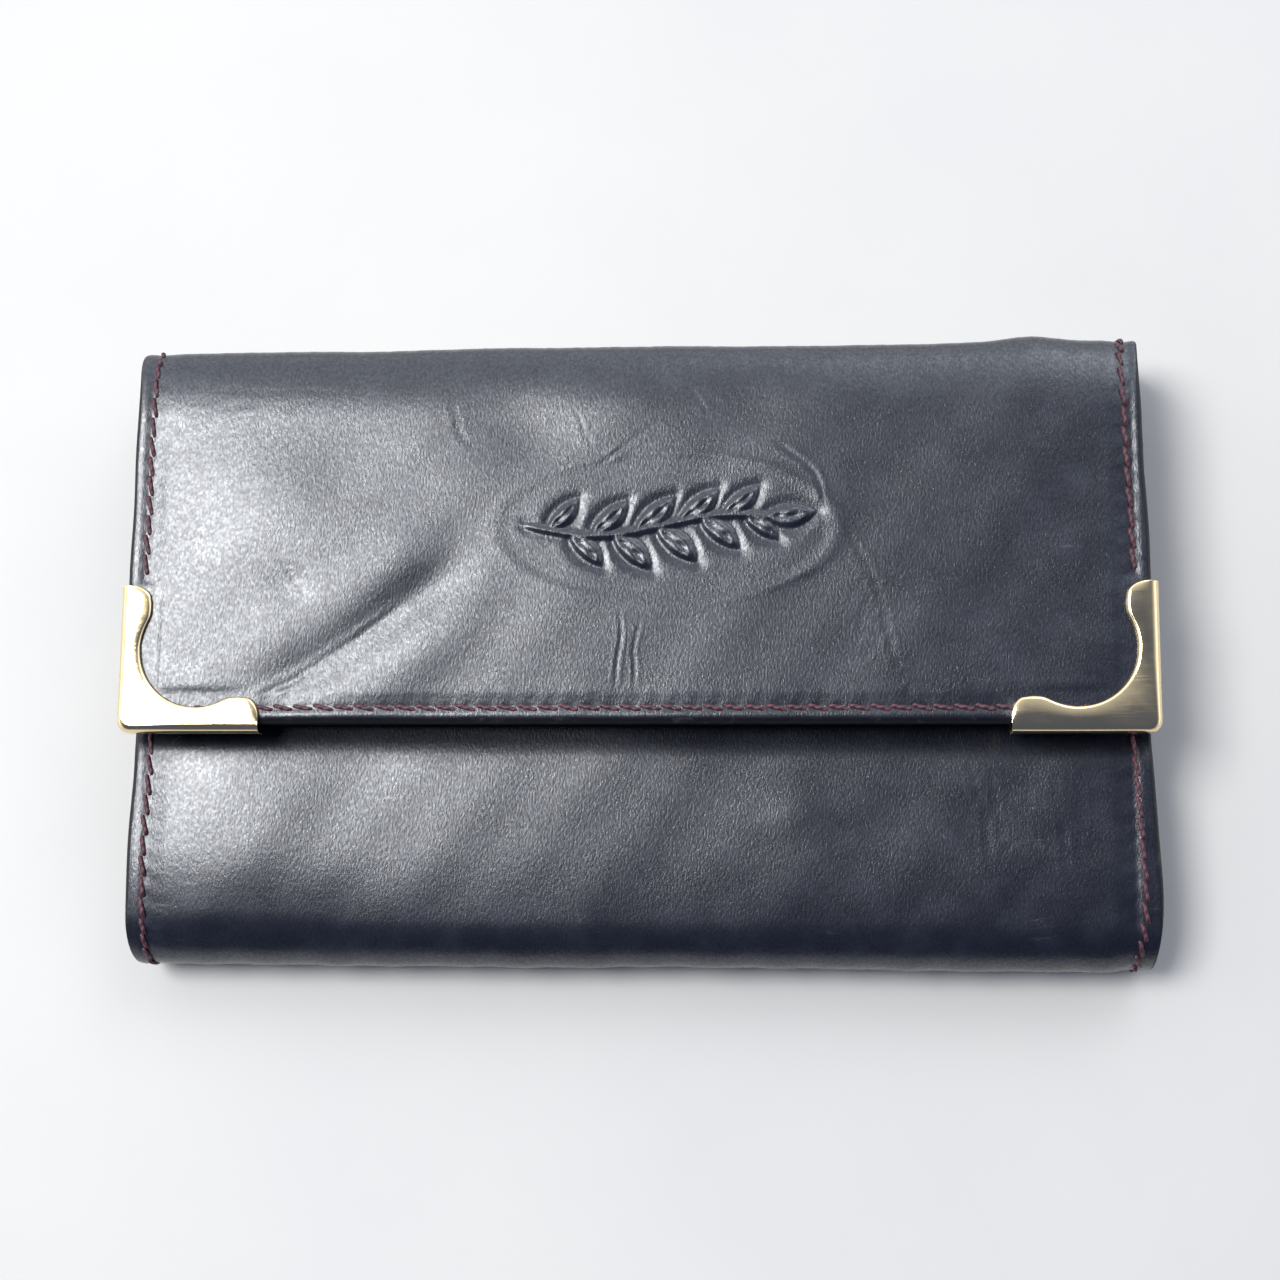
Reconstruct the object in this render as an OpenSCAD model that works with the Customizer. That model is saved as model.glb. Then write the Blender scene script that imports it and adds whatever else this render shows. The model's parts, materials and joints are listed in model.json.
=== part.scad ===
// Flat leather card case, lying closed on its back.
// X runs along the folds, Y from the bottom fold to the spine, Z up from the back face.

/* [Case] */
// Width of the pocket panels
case_w = 110; // [85:0.5:140]
// Depth from the bottom fold to the spine
case_d = 68; // [58:0.5:95]
// Rounding of the panel corners seen from above
corner_r = 1.2; // [0.6:0.1:3]
// Room for cards between the two walls of the pocket
pocket_gap = 4.9; // [4.5:0.1:9]
// Distance of the front panel's mouth from the spine
mouth_inset = 10; // [8:0.5:14]
// Radius of the thumb notch in the front panel's mouth
notch_r = 8; // [5:0.5:10]

/* [Flap] */
// Length of the flap from the spine's outer face to its front edge
flap_len = 42.2; // [34:0.2:50]
// How far the flap stands past the panels on each side
flap_overhang = 0; // [0:0.1:1.5]
// Space between the front panel and the flap, filled by the press stud
flap_gap = 2.2; // [2:0.1:3]
// Outer radius of the two creases beside the spine
crease_r = 3; // [2.6:0.1:3.6]

/* [Leather] */
// Thickness of the outer leather
leather_t = 1.1; // [0.8:0.05:1.6]
// Thickness of the stiffening board
board_t = 0.5; // [0.4:0.05:0.8]
// Thickness of the lining leather
lining_t = 0.6; // [0.4:0.05:1]
// Thickness of the slip pocket panel
slip_t = 0.7; // [0.4:0.05:1]
// Depth of the slip pocket, measured from the end of the bottom fold
slip_d = 40; // [20:1:44]
// Thickness of the folded gusset leather
gusset_t = 0.6; // [0.4:0.05:0.8]
// How far each gusset's fold reaches in from the side
gusset_reach = 8; // [6:0.5:12]
// Width of the gusset flanges that are sewn to the panels
gusset_flange = 2.6; // [2.2:0.1:4]
// Inset of the boards from the leather's edges
board_inset = 3; // [2.4:0.1:5]

/* [Stitching] */
// Distance from one stitch to the next
stitch_pitch = 2.2; // [1.6:0.1:3.5]
// Length of one stitch
stitch_len = 1.6; // [1:0.1:1.9]
// Thread thickness
thread_w = 0.5; // [0.3:0.05:0.6]
// Distance of a seam from the leather's edge
seam_inset = 1.9; // [1.4:0.1:2.3]

/* [Corner caps] */
// Thickness of the cap metal
cap_t = 0.5; // [0.3:0.05:0.8]
// Length of each arm, from the leather's corner
cap_arm = 15; // [13:0.2:20]
// Width of an arm at its lobe
cap_lobe_w = 2.9; // [2.7:0.1:3.8]
// Radius of an arm's rounded end
cap_lobe_r = 2.2; // [1.2:0.1:2.6]
// Radius of the hollow inner curve
cap_hollow_r = 6.1; // [5:0.1:6.6]
// Distance of the hollow curve's centre from the leather's edges
cap_hollow_c = 8.2; // [7.6:0.1:9]
// Room between the flap's front edge and the cap's front wall
cap_front_room = 0.5; // [0.1:0.05:0.8]
// Room between the flap's side edge and the cap's side wall
cap_side_room = 0.1; // [0.05:0.05:0.5]

/* [Press stud] */
// Distance of the stud from the flap's front edge
snap_inset = 11.4; // [9:0.2:16]
// Radius of the stud's head
stud_r = 2; // [1.6:0.1:2.4]
// Radius of the stud's neck
stud_neck_r = 1.75; // [1.45:0.05:2]
// Radius of the stud's flange
stud_flange_r = 4.5; // [4:0.1:5.5]
// Radius of the socket
socket_r = 5; // [4.4:0.1:6]
// Radius of the rivet shanks
shank_r = 1.2; // [0.8:0.05:1.3]
// Radius of the rivet heads
post_r = 4; // [3:0.1:4.5]
// Radius of the snap spring's wire
wire_r = 0.18; // [0.12:0.01:0.22]

/* [Hidden] */
round_fn = 96;

// clearances
split_gap = 0.06;
hole_room = 0.05;
stud_room = 0.4;
snap_room = 0.3;
layer_room = 0.3;
lining_inset = 0.4;
gusset_end_room = 0.5;
board_end_room = 1;
notch_rim = 1.5;
cut_past = 1;

// heights of the layers
wall_t = leather_t + board_t + lining_t;
lining_z = leather_t + board_t;
slip_z = wall_t;
pocket_z0 = wall_t + slip_t;
pocket_z1 = pocket_z0 + pocket_gap;
body_t = pocket_z1 + wall_t;
flap_z0 = body_t + flap_gap;
flap_z1 = flap_z0 + wall_t;

// places along Y
fold_y = -case_d / 2;
spine_y = case_d / 2;
fold_r = body_t / 2;
fold_gap_a = split_gap / 2 / fold_r * 180 / PI;
crease_gap_a = split_gap / 2 / crease_r * 180 / PI;
panel_y0 = fold_y + fold_r;
mouth_y = spine_y - mouth_inset;
crease_y = spine_y - crease_r;
flap_y = spine_y - flap_len;
snap_y = flap_y + snap_inset;
flap_w = case_w + 2 * flap_overhang;

// seams
stitch_slant = 14;
thread_side_room = 0.03;
groove_w = thread_w * cos(stitch_slant) + stitch_len * sin(stitch_slant) + 2 * thread_side_room;
groove_d = 0.3;
thread_h = 0.25;
thread_proud = 0.12;
seam_end_room = 1.2;
crease_end_room = 0.3;
cap_end_room = 0.3;

// press stud
stud_flange_t = 0.5;
socket_h = flap_gap - stud_flange_t - snap_room;
socket_z0 = flap_z0 - socket_h;
socket_web = 0.35;
stud_h = flap_gap - socket_web - snap_room;
head_h = 0.5;
shank_in = 0.8;
bore_r = stud_r + stud_room;
spring_z = socket_z0 + 2 * wire_r;
spring_gap = 0.8;

leather_col = [0.10, 0.10, 0.13];
lining_col = [0.16, 0.15, 0.17];
board_col = [0.55, 0.50, 0.42];
thread_col = [0.35, 0.06, 0.12];
gold_col = [0.85, 0.68, 0.35];
snap_col = [0.72, 0.66, 0.52];

// A rectangle centred on X, with rounded corners made of true arcs.
module plan_rect(w, y0, y1, r) {
    translate([-w / 2 + r, y0]) square([w - 2 * r, y1 - y0]);
    translate([-w / 2, y0 + r]) square([w, y1 - y0 - 2 * r]);
    for (x = [-w / 2 + r, w / 2 - r])
        for (y = [y0 + r, y1 - r])
            translate([x, y]) circle(r, $fn = round_fn);
}

// A plate with that outline.
module plate(w, y0, y1, z0, t, r) {
    translate([0, 0, z0]) linear_extrude(t) plan_rect(w, y0, y1, r);
}

// A section drawn in Y and Z, carried along X over the width w.
module along_x(w) {
    translate([-w / 2, 0, 0]) rotate([90, 0, 90]) linear_extrude(w) children();
}

// A sector of a bent strip: the ring from radius r - t to r, between the angles a0 and a1.
module bend(y, z, r, t, a0, a1) {
    reach = 2 * r;
    am = (a0 + a1) / 2;
    translate([y, z]) intersection() {
        difference() {
            circle(r, $fn = round_fn);
            circle(r - t, $fn = round_fn);
        }
        polygon([
            [0, 0], [reach * cos(a0), reach * sin(a0)],
            [reach * cos(am), reach * sin(am)], [reach * cos(a1), reach * sin(a1)]
        ]);
    }
}

// Places of the stitches in a run of length l that starts at 0.
function stitch_count(l) = floor(l / stitch_pitch);
function stitch_places(l) = [for (i = [0 : stitch_count(l) - 1]) (i + 0.5) * l / stitch_count(l)];

// A row of slanted stitches along Y at height z, with the thread's top at z + h.
module stitch_row_y(x, y0, y1, z, h) {
    for (p = stitch_places(y1 - y0))
        translate([x, y0 + p, z + h / 2]) rotate(stitch_slant)
            cube([thread_w, stitch_len, h], center = true);
}

// The shallow groove that such a row lies in, cut to a depth below or above the face at z.
module groove_y(x, y0, y1, z0, z1) {
    translate([x - groove_w / 2, y0, z0]) cube([groove_w, y1 - y0, z1 - z0]);
}

// ---- back wall ----

back_seam_y0 = panel_y0 + seam_end_room;
back_seam_y1 = crease_y - seam_end_room;
body_seam_x = case_w / 2 - seam_inset;

module back_leather() {
    color(leather_col) difference() {
        intersection() {
            along_x(case_w) {
                translate([panel_y0, 0]) square([crease_y - panel_y0, leather_t]);
                bend(panel_y0, fold_r, fold_r, leather_t, 180 + fold_gap_a, 270);
                bend(crease_y, crease_r, crease_r, leather_t, -90, -45 - crease_gap_a);
            }
            plate(case_w, fold_y, spine_y, -cut_past, body_t, corner_r);
        }
        for (x = [-body_seam_x, body_seam_x])
            groove_y(x, back_seam_y0, back_seam_y1, -cut_past, groove_d);
    }
}

module back_board() {
    color(board_col)
        plate(case_w - 2 * board_inset, panel_y0 + board_end_room, crease_y - board_end_room, leather_t,
            board_t, corner_r);
}

module back_lining() {
    color(lining_col)
        plate(case_w - 2 * lining_inset, panel_y0, crease_y - layer_room, lining_z, lining_t, corner_r);
}

module slip_pocket_panel() {
    color(lining_col)
        plate(case_w - 4 * lining_inset, panel_y0 + gusset_end_room, panel_y0 + slip_d, slip_z, slip_t,
            corner_r);
}

module back_seam(x) {
    color(thread_col) stitch_row_y(x, back_seam_y0, back_seam_y1, groove_d - thread_h, thread_h);
}

// A gusset's section on the right: two flanges and a fold that points into the pocket.
module gusset_section() {
    edge = case_w / 2 - 2 * lining_inset;
    bend = edge - gusset_flange;
    tip = case_w / 2 - gusset_reach;
    mid = (pocket_z0 + pocket_z1) / 2;
    polygon([
        [edge, pocket_z0], [bend, pocket_z0], [tip, mid], [bend, pocket_z1], [edge, pocket_z1],
        [edge, pocket_z1 - gusset_t], [bend + gusset_t / 2, pocket_z1 - gusset_t],
        [tip + 1.5 * gusset_t, mid],
        [bend + gusset_t / 2, pocket_z0 + gusset_t], [edge, pocket_z0 + gusset_t]
    ]);
}

module gusset() {
    translate([0, mouth_y - gusset_end_room, 0]) rotate([90, 0, 0])
        linear_extrude(mouth_y - panel_y0 - 2 * gusset_end_room) gusset_section();
}

module gusset_left() {
    color(lining_col) mirror([1, 0, 0]) gusset();
}

module gusset_right() {
    color(lining_col) gusset();
}

// ---- spine ----

spine_seam_z0 = crease_r + crease_end_room;
spine_seam_z1 = flap_z1 - crease_r - crease_end_room;

module spine_leather() {
    z1 = flap_z1 - crease_r;
    color(leather_col) difference() {
        along_x(flap_w) {
            translate([spine_y - leather_t, crease_r]) square([leather_t, z1 - crease_r]);
            bend(crease_y, crease_r, crease_r, leather_t, -45 + crease_gap_a, 0);
            bend(crease_y, z1, crease_r, leather_t, 0, 45 - crease_gap_a);
        }
        for (x = [-body_seam_x, body_seam_x])
            translate([x - groove_w / 2, spine_y - groove_d, spine_seam_z0])
                cube([groove_w, groove_d + cut_past, spine_seam_z1 - spine_seam_z0]);
    }
}

module spine_lining() {
    z0 = crease_r + layer_room;
    color(lining_col) translate([-flap_w / 2 + lining_inset, spine_y - leather_t - lining_t, z0])
        cube([flap_w - 2 * lining_inset, lining_t, flap_z1 - crease_r - layer_room - z0]);
}

module spine_seams() {
    l = spine_seam_z1 - spine_seam_z0;
    color(thread_col) for (x = [-body_seam_x, body_seam_x])
        for (p = stitch_places(l))
            translate([x, spine_y - groove_d + thread_h / 2, spine_seam_z0 + p])
                rotate([0, stitch_slant, 0]) cube([thread_w, thread_h, stitch_len], center = true);
}

// ---- front wall ----

front_seam_y0 = panel_y0 + seam_end_room;
front_seam_y1 = mouth_y - seam_end_room;

// The half-round notch in the mouth, for a thumb.
module notch_cut(r, z0, z1) {
    translate([0, mouth_y, z0]) cylinder(r = r, h = z1 - z0, $fn = round_fn);
}

module front_leather() {
    z0 = body_t - leather_t;
    color(leather_col) difference() {
        intersection() {
            along_x(case_w) {
                translate([panel_y0, z0]) square([mouth_y - panel_y0, leather_t]);
                bend(panel_y0, fold_r, fold_r, leather_t, 90, 180 - fold_gap_a);
            }
            plate(case_w, fold_y, mouth_y, 0, body_t + cut_past, corner_r);
        }
        notch_cut(notch_r, fold_r, body_t + cut_past);
        translate([0, snap_y, fold_r]) cylinder(r = shank_r + hole_room, h = body_t, $fn = round_fn);
        for (x = [-body_seam_x, body_seam_x])
            groove_y(x, front_seam_y0, front_seam_y1, body_t - groove_d, body_t + cut_past);
    }
}

module front_board() {
    z0 = pocket_z1 + lining_t;
    color(board_col) difference() {
        plate(case_w - 2 * board_inset, panel_y0 + board_end_room, mouth_y - notch_rim, z0, board_t,
            corner_r);
        notch_cut(notch_r + notch_rim, z0 - cut_past, z0 + board_t + cut_past);
        translate([0, snap_y, z0 - cut_past])
            cylinder(r = post_r + hole_room, h = board_t + 2 * cut_past, $fn = round_fn);
    }
}

module front_lining() {
    color(lining_col) difference() {
        plate(case_w - 2 * lining_inset, panel_y0, mouth_y, pocket_z1, lining_t, corner_r);
        notch_cut(notch_r, pocket_z1 - cut_past, pocket_z1 + lining_t + cut_past);
    }
}

module front_seam(x) {
    color(thread_col)
        stitch_row_y(x, front_seam_y0, front_seam_y1, body_t - groove_d, groove_d + thread_proud);
}

// ---- press stud ----

module snap_stud() {
    color(snap_col) translate([0, snap_y, body_t]) difference() {
        union() {
            cylinder(r = stud_flange_r, h = stud_flange_t, $fn = round_fn);
            cylinder(r = stud_neck_r, h = stud_h - head_h, $fn = round_fn);
            translate([0, 0, stud_h - head_h]) cylinder(r = stud_r, h = head_h, $fn = round_fn);
        }
        translate([0, 0, -cut_past])
            cylinder(r = shank_r, h = cut_past + shank_in, $fn = round_fn);
    }
}

// A rivet: a thin head with a shank on the side given by up.
module rivet(z_head, shank_h, up) {
    color(snap_col) translate([0, snap_y, z_head]) {
        cylinder(r = post_r, h = board_t, $fn = round_fn);
        translate([0, 0, up ? board_t : -shank_h]) cylinder(r = shank_r, h = shank_h, $fn = round_fn);
    }
}

module stud_post() {
    rivet(body_t - leather_t - board_t, leather_t + shank_in, true);
}

module socket_post() {
    rivet(flap_z0 + lining_t, lining_t + socket_web, false);
}

module snap_socket() {
    color(snap_col) translate([0, snap_y, socket_z0]) difference() {
        cylinder(r = socket_r, h = socket_h, $fn = round_fn);
        translate([0, 0, -cut_past])
            cylinder(r = bore_r, h = cut_past + socket_h - socket_web, $fn = round_fn);
        translate([0, 0, spring_z - socket_z0 - wire_r])
            cylinder(r = bore_r + 2 * wire_r, h = 2 * wire_r, $fn = round_fn);
        translate([0, 0, socket_h - socket_web - cut_past])
            cylinder(r = shank_r, h = socket_web + 2 * cut_past, $fn = round_fn);
    }
}

// An open wire ring that grips the stud's neck.
module snap_spring() {
    color(snap_col) translate([0, snap_y, spring_z]) difference() {
        rotate_extrude($fn = round_fn) translate([bore_r, 0]) circle(wire_r, $fn = 24);
        translate([0, -spring_gap / 2, -cut_past]) cube([bore_r + cut_past, spring_gap, 2 * cut_past]);
    }
}

// ---- flap ----

flap_seam_x = flap_w / 2 - seam_inset;
flap_seam_y0 = flap_y + cap_arm + cap_end_room;
flap_seam_y1 = crease_y - crease_end_room;
front_run_w = flap_w - 2 * cap_arm - 2 * cap_end_room;

module flap_leather() {
    z0 = flap_z1 - leather_t;
    color(leather_col) difference() {
        intersection() {
            along_x(flap_w) {
                translate([flap_y, z0]) square([crease_y - flap_y, leather_t]);
                bend(crease_y, flap_z1 - crease_r, crease_r, leather_t, 45 + crease_gap_a, 90);
            }
            plate(flap_w, flap_y, spine_y + corner_r, z0 - crease_r, 2 * crease_r, corner_r);
        }
        for (x = [-flap_seam_x, flap_seam_x])
            groove_y(x, flap_seam_y0, flap_seam_y1, flap_z1 - groove_d, flap_z1 + cut_past);
        translate([-front_run_w / 2, flap_y + seam_inset - groove_w / 2, flap_z1 - groove_d])
            cube([front_run_w, groove_w, groove_d + cut_past]);
    }
}

module flap_board() {
    z0 = flap_z0 + lining_t;
    color(board_col) difference() {
        plate(flap_w - 2 * board_inset, flap_y + board_inset, crease_y - board_end_room, z0, board_t,
            corner_r);
        translate([0, snap_y, z0 - cut_past])
            cylinder(r = post_r + hole_room, h = board_t + 2 * cut_past, $fn = round_fn);
    }
}

module flap_lining() {
    color(lining_col) difference() {
        plate(flap_w, flap_y, crease_y - layer_room, flap_z0, lining_t, corner_r);
        translate([0, snap_y, flap_z0 - cut_past])
            cylinder(r = shank_r + hole_room, h = lining_t + 2 * cut_past, $fn = round_fn);
    }
}

module flap_seam(x) {
    color(thread_col)
        stitch_row_y(x, flap_seam_y0, flap_seam_y1, flap_z1 - groove_d, groove_d + thread_proud);
}

module flap_seam_front() {
    h = groove_d + thread_proud;
    color(thread_col) translate([-front_run_w / 2, flap_y + seam_inset, flap_z1 - groove_d + h / 2])
        for (p = stitch_places(front_run_w))
            translate([p, 0, 0]) rotate(stitch_slant) cube([stitch_len, thread_w, h], center = true);
}

// ---- corner caps ----

// A cap's face, with the leather's corner at the origin and the arms along +X and +Y. It starts
// at the inner faces of the side wall and the front wall, and the arms end in rounded lobes.
module cap_face() {
    difference() {
        union() {
            cap_arm_outline(-cap_front_room);
            mirror([1, -1]) cap_arm_outline(-cap_side_room);
            translate([-cap_side_room, -cap_front_room])
                square([cap_hollow_c + cap_side_room, cap_hollow_c + cap_front_room]);
        }
        translate([cap_hollow_c, cap_hollow_c]) circle(cap_hollow_r, $fn = round_fn);
    }
}

// One arm along +X, from the level y0 up to the lobe's width, with its end's upper corner rounded.
module cap_arm_outline(y0) {
    translate([0, y0]) square([cap_arm - cap_lobe_r, cap_lobe_w - y0]);
    translate([0, y0]) square([cap_arm, cap_lobe_w - cap_lobe_r - y0]);
    intersection() {
        translate([cap_arm - cap_lobe_r, cap_lobe_w - cap_lobe_r]) circle(cap_lobe_r, $fn = round_fn);
        translate([0, y0]) square([cap_arm + cut_past, cap_lobe_w + cut_past - y0]);
    }
}

// The walls round the leather's edges, seen from above.
module cap_walls() {
    translate([-cap_side_room - cap_t, -cap_front_room - cap_t]) {
        translate([cap_t, 0]) square([cap_arm + cap_side_room, cap_t]);
        translate([0, cap_t]) square([cap_t, cap_arm + cap_front_room]);
        translate([cap_t, cap_t]) circle(cap_t, $fn = round_fn);
    }
}

// A cap on the right front corner: two faces joined by the walls.
module corner_cap() {
    z0 = flap_z0 - cap_t;
    z1 = flap_z1;
    color(gold_col) translate([flap_w / 2, flap_y, 0]) mirror([1, 0, 0]) {
        translate([0, 0, z0]) linear_extrude(cap_t) cap_face();
        translate([0, 0, z1]) linear_extrude(cap_t) cap_face();
        translate([0, 0, z0]) linear_extrude(z1 + cap_t - z0) cap_walls();
    }
}

module corner_cap_left() {
    mirror([1, 0, 0]) corner_cap();
}

module corner_cap_right() {
    corner_cap();
}

back_leather();
back_board();
back_lining();
slip_pocket_panel();
back_seam(-body_seam_x);  // back_seam_left
back_seam(body_seam_x);  // back_seam_right
gusset_left();
gusset_right();
spine_leather();
spine_lining();
spine_seams();
front_leather();
front_board();
front_lining();
front_seam(-body_seam_x);  // front_seam_left
front_seam(body_seam_x);  // front_seam_right
snap_stud();
stud_post();
flap_leather();
flap_board();
flap_lining();
flap_seam(-flap_seam_x);  // flap_seam_left
flap_seam(flap_seam_x);  // flap_seam_right
flap_seam_front();
corner_cap_left();
corner_cap_right();
snap_socket();
socket_post();
snap_spring();
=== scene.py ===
"""A flat leather card case with a fold-over flap and metal corner caps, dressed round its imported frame.

The outer leather and the linings are bent sheets: each is a grid of (distance along the fold path,
distance across) that is carried along the case's side profile and raised or pressed by a relief.
All sizes here are in millimetres until a mesh is written, and the places come from the frame.
"""

from __future__ import annotations

import json
import logging
import math
from dataclasses import dataclass, field
from enum import Enum
from typing import Callable

import bpy
import numpy as np
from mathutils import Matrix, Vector

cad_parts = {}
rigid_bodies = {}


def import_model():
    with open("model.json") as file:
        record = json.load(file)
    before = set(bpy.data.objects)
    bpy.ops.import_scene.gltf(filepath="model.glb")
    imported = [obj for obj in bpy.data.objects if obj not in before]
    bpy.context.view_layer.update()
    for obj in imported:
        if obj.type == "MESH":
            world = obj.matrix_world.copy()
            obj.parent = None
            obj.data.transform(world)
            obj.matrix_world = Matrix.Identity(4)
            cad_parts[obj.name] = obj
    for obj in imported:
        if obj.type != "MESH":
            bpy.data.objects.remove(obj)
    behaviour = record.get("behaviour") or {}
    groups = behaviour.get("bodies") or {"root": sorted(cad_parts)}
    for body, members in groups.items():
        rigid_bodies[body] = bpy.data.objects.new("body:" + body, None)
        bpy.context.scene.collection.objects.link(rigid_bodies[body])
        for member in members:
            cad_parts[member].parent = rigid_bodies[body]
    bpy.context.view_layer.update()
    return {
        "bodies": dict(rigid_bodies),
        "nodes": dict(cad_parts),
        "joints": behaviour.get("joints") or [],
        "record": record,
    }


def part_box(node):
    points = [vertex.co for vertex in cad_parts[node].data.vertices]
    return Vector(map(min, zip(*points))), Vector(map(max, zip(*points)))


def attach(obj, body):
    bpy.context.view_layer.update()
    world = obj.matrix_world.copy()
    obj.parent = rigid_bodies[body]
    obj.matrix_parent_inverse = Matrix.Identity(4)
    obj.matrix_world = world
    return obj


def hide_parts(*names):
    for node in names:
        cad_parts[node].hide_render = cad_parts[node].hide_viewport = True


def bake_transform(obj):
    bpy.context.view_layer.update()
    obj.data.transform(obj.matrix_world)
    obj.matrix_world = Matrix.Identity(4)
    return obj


MM = 0.001
LOG = logging.getLogger("card_case")
Array = np.ndarray
Relief = Callable[[Array, Array], Array]


def ease(low: float, high: float, value: Array) -> Array:
    """Smoothstep: 0 below low, 1 above high, 3t^2 - 2t^3 between.

    Args:
        low: where the step starts.
        high: where the step ends; it may lie below low, which turns the step round.
        value: the places to weigh.

    Returns:
        The weights, from 0 to 1.
    """
    t = np.clip((value - low) / (high - low), 0.0, 1.0)
    return t * t * (3.0 - 2.0 * t)


def bell(value: Array, width: float) -> Array:
    """A bell curve, exp(-(value / width)^2)."""
    return np.exp(-((value / width) ** 2))


# ---------------------------------------------------------------- sizes


@dataclass(frozen=True)
class CaseSizes:
    """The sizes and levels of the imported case, in millimetres."""

    fold_y: float
    spine_y: float
    mouth_y: float
    flap_y: float
    half_w: float
    body_top: float
    flap_under: float
    flap_top: float
    crease_r: float
    leather_t: float
    board_t: float
    lining_t: float
    pocket_low: float
    pocket_high: float
    board_half_w: float
    slip_mouth_y: float
    gusset_tip_x: float
    snap_y: float
    cap_low: float
    cap_top: float
    cap_arm: float

    @property
    def fold_r(self) -> float:
        """Outer radius of the bottom fold."""
        return self.body_top / 2

    @property
    def panel_y(self) -> float:
        """Where the panels end and the bottom fold begins."""
        return self.fold_y + self.fold_r

    @property
    def crease_y(self) -> float:
        """Where the panels end and the creases beside the spine begin."""
        return self.spine_y - self.crease_r

    @staticmethod
    def from_frame(frame: dict) -> "CaseSizes":
        """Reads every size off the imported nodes.


        Returns:
            The case's sizes.
        """
        box = {n: (np.array(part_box(n)[0]) / MM, np.array(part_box(n)[1]) / MM) for n in frame["nodes"]}
        joints = {j["name"]: j for j in frame["joints"]}
        pivot_z = joints["spine_fold"]["pos_m"][2] / MM
        flap, front, back = box["flap_leather"], box["front_leather"], box["back_leather"]
        return CaseSizes(
            fold_y=back[0][1],
            spine_y=box["spine_leather"][1][1],
            mouth_y=front[1][1],
            flap_y=flap[0][1],
            half_w=flap[1][0],
            body_top=front[1][2],
            flap_under=box["flap_lining"][0][2],
            flap_top=flap[1][2],
            crease_r=pivot_z / (1 - math.sqrt(0.5)),
            leather_t=box["back_board"][0][2],
            board_t=box["back_board"][1][2] - box["back_board"][0][2],
            lining_t=box["back_lining"][1][2] - box["back_lining"][0][2],
            pocket_low=box["slip_pocket_panel"][1][2],
            pocket_high=box["front_lining"][0][2],
            board_half_w=box["back_board"][1][0],
            slip_mouth_y=box["slip_pocket_panel"][1][1],
            gusset_tip_x=box["gusset_right"][0][0],
            snap_y=(box["snap_stud"][0][1] + box["snap_stud"][1][1]) / 2,
            cap_low=box["corner_cap_right"][0][2],
            cap_top=box["corner_cap_right"][1][2],
            cap_arm=flap[1][0] - box["corner_cap_right"][0][0],
        )


# ---------------------------------------------------------------- finishes


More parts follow.
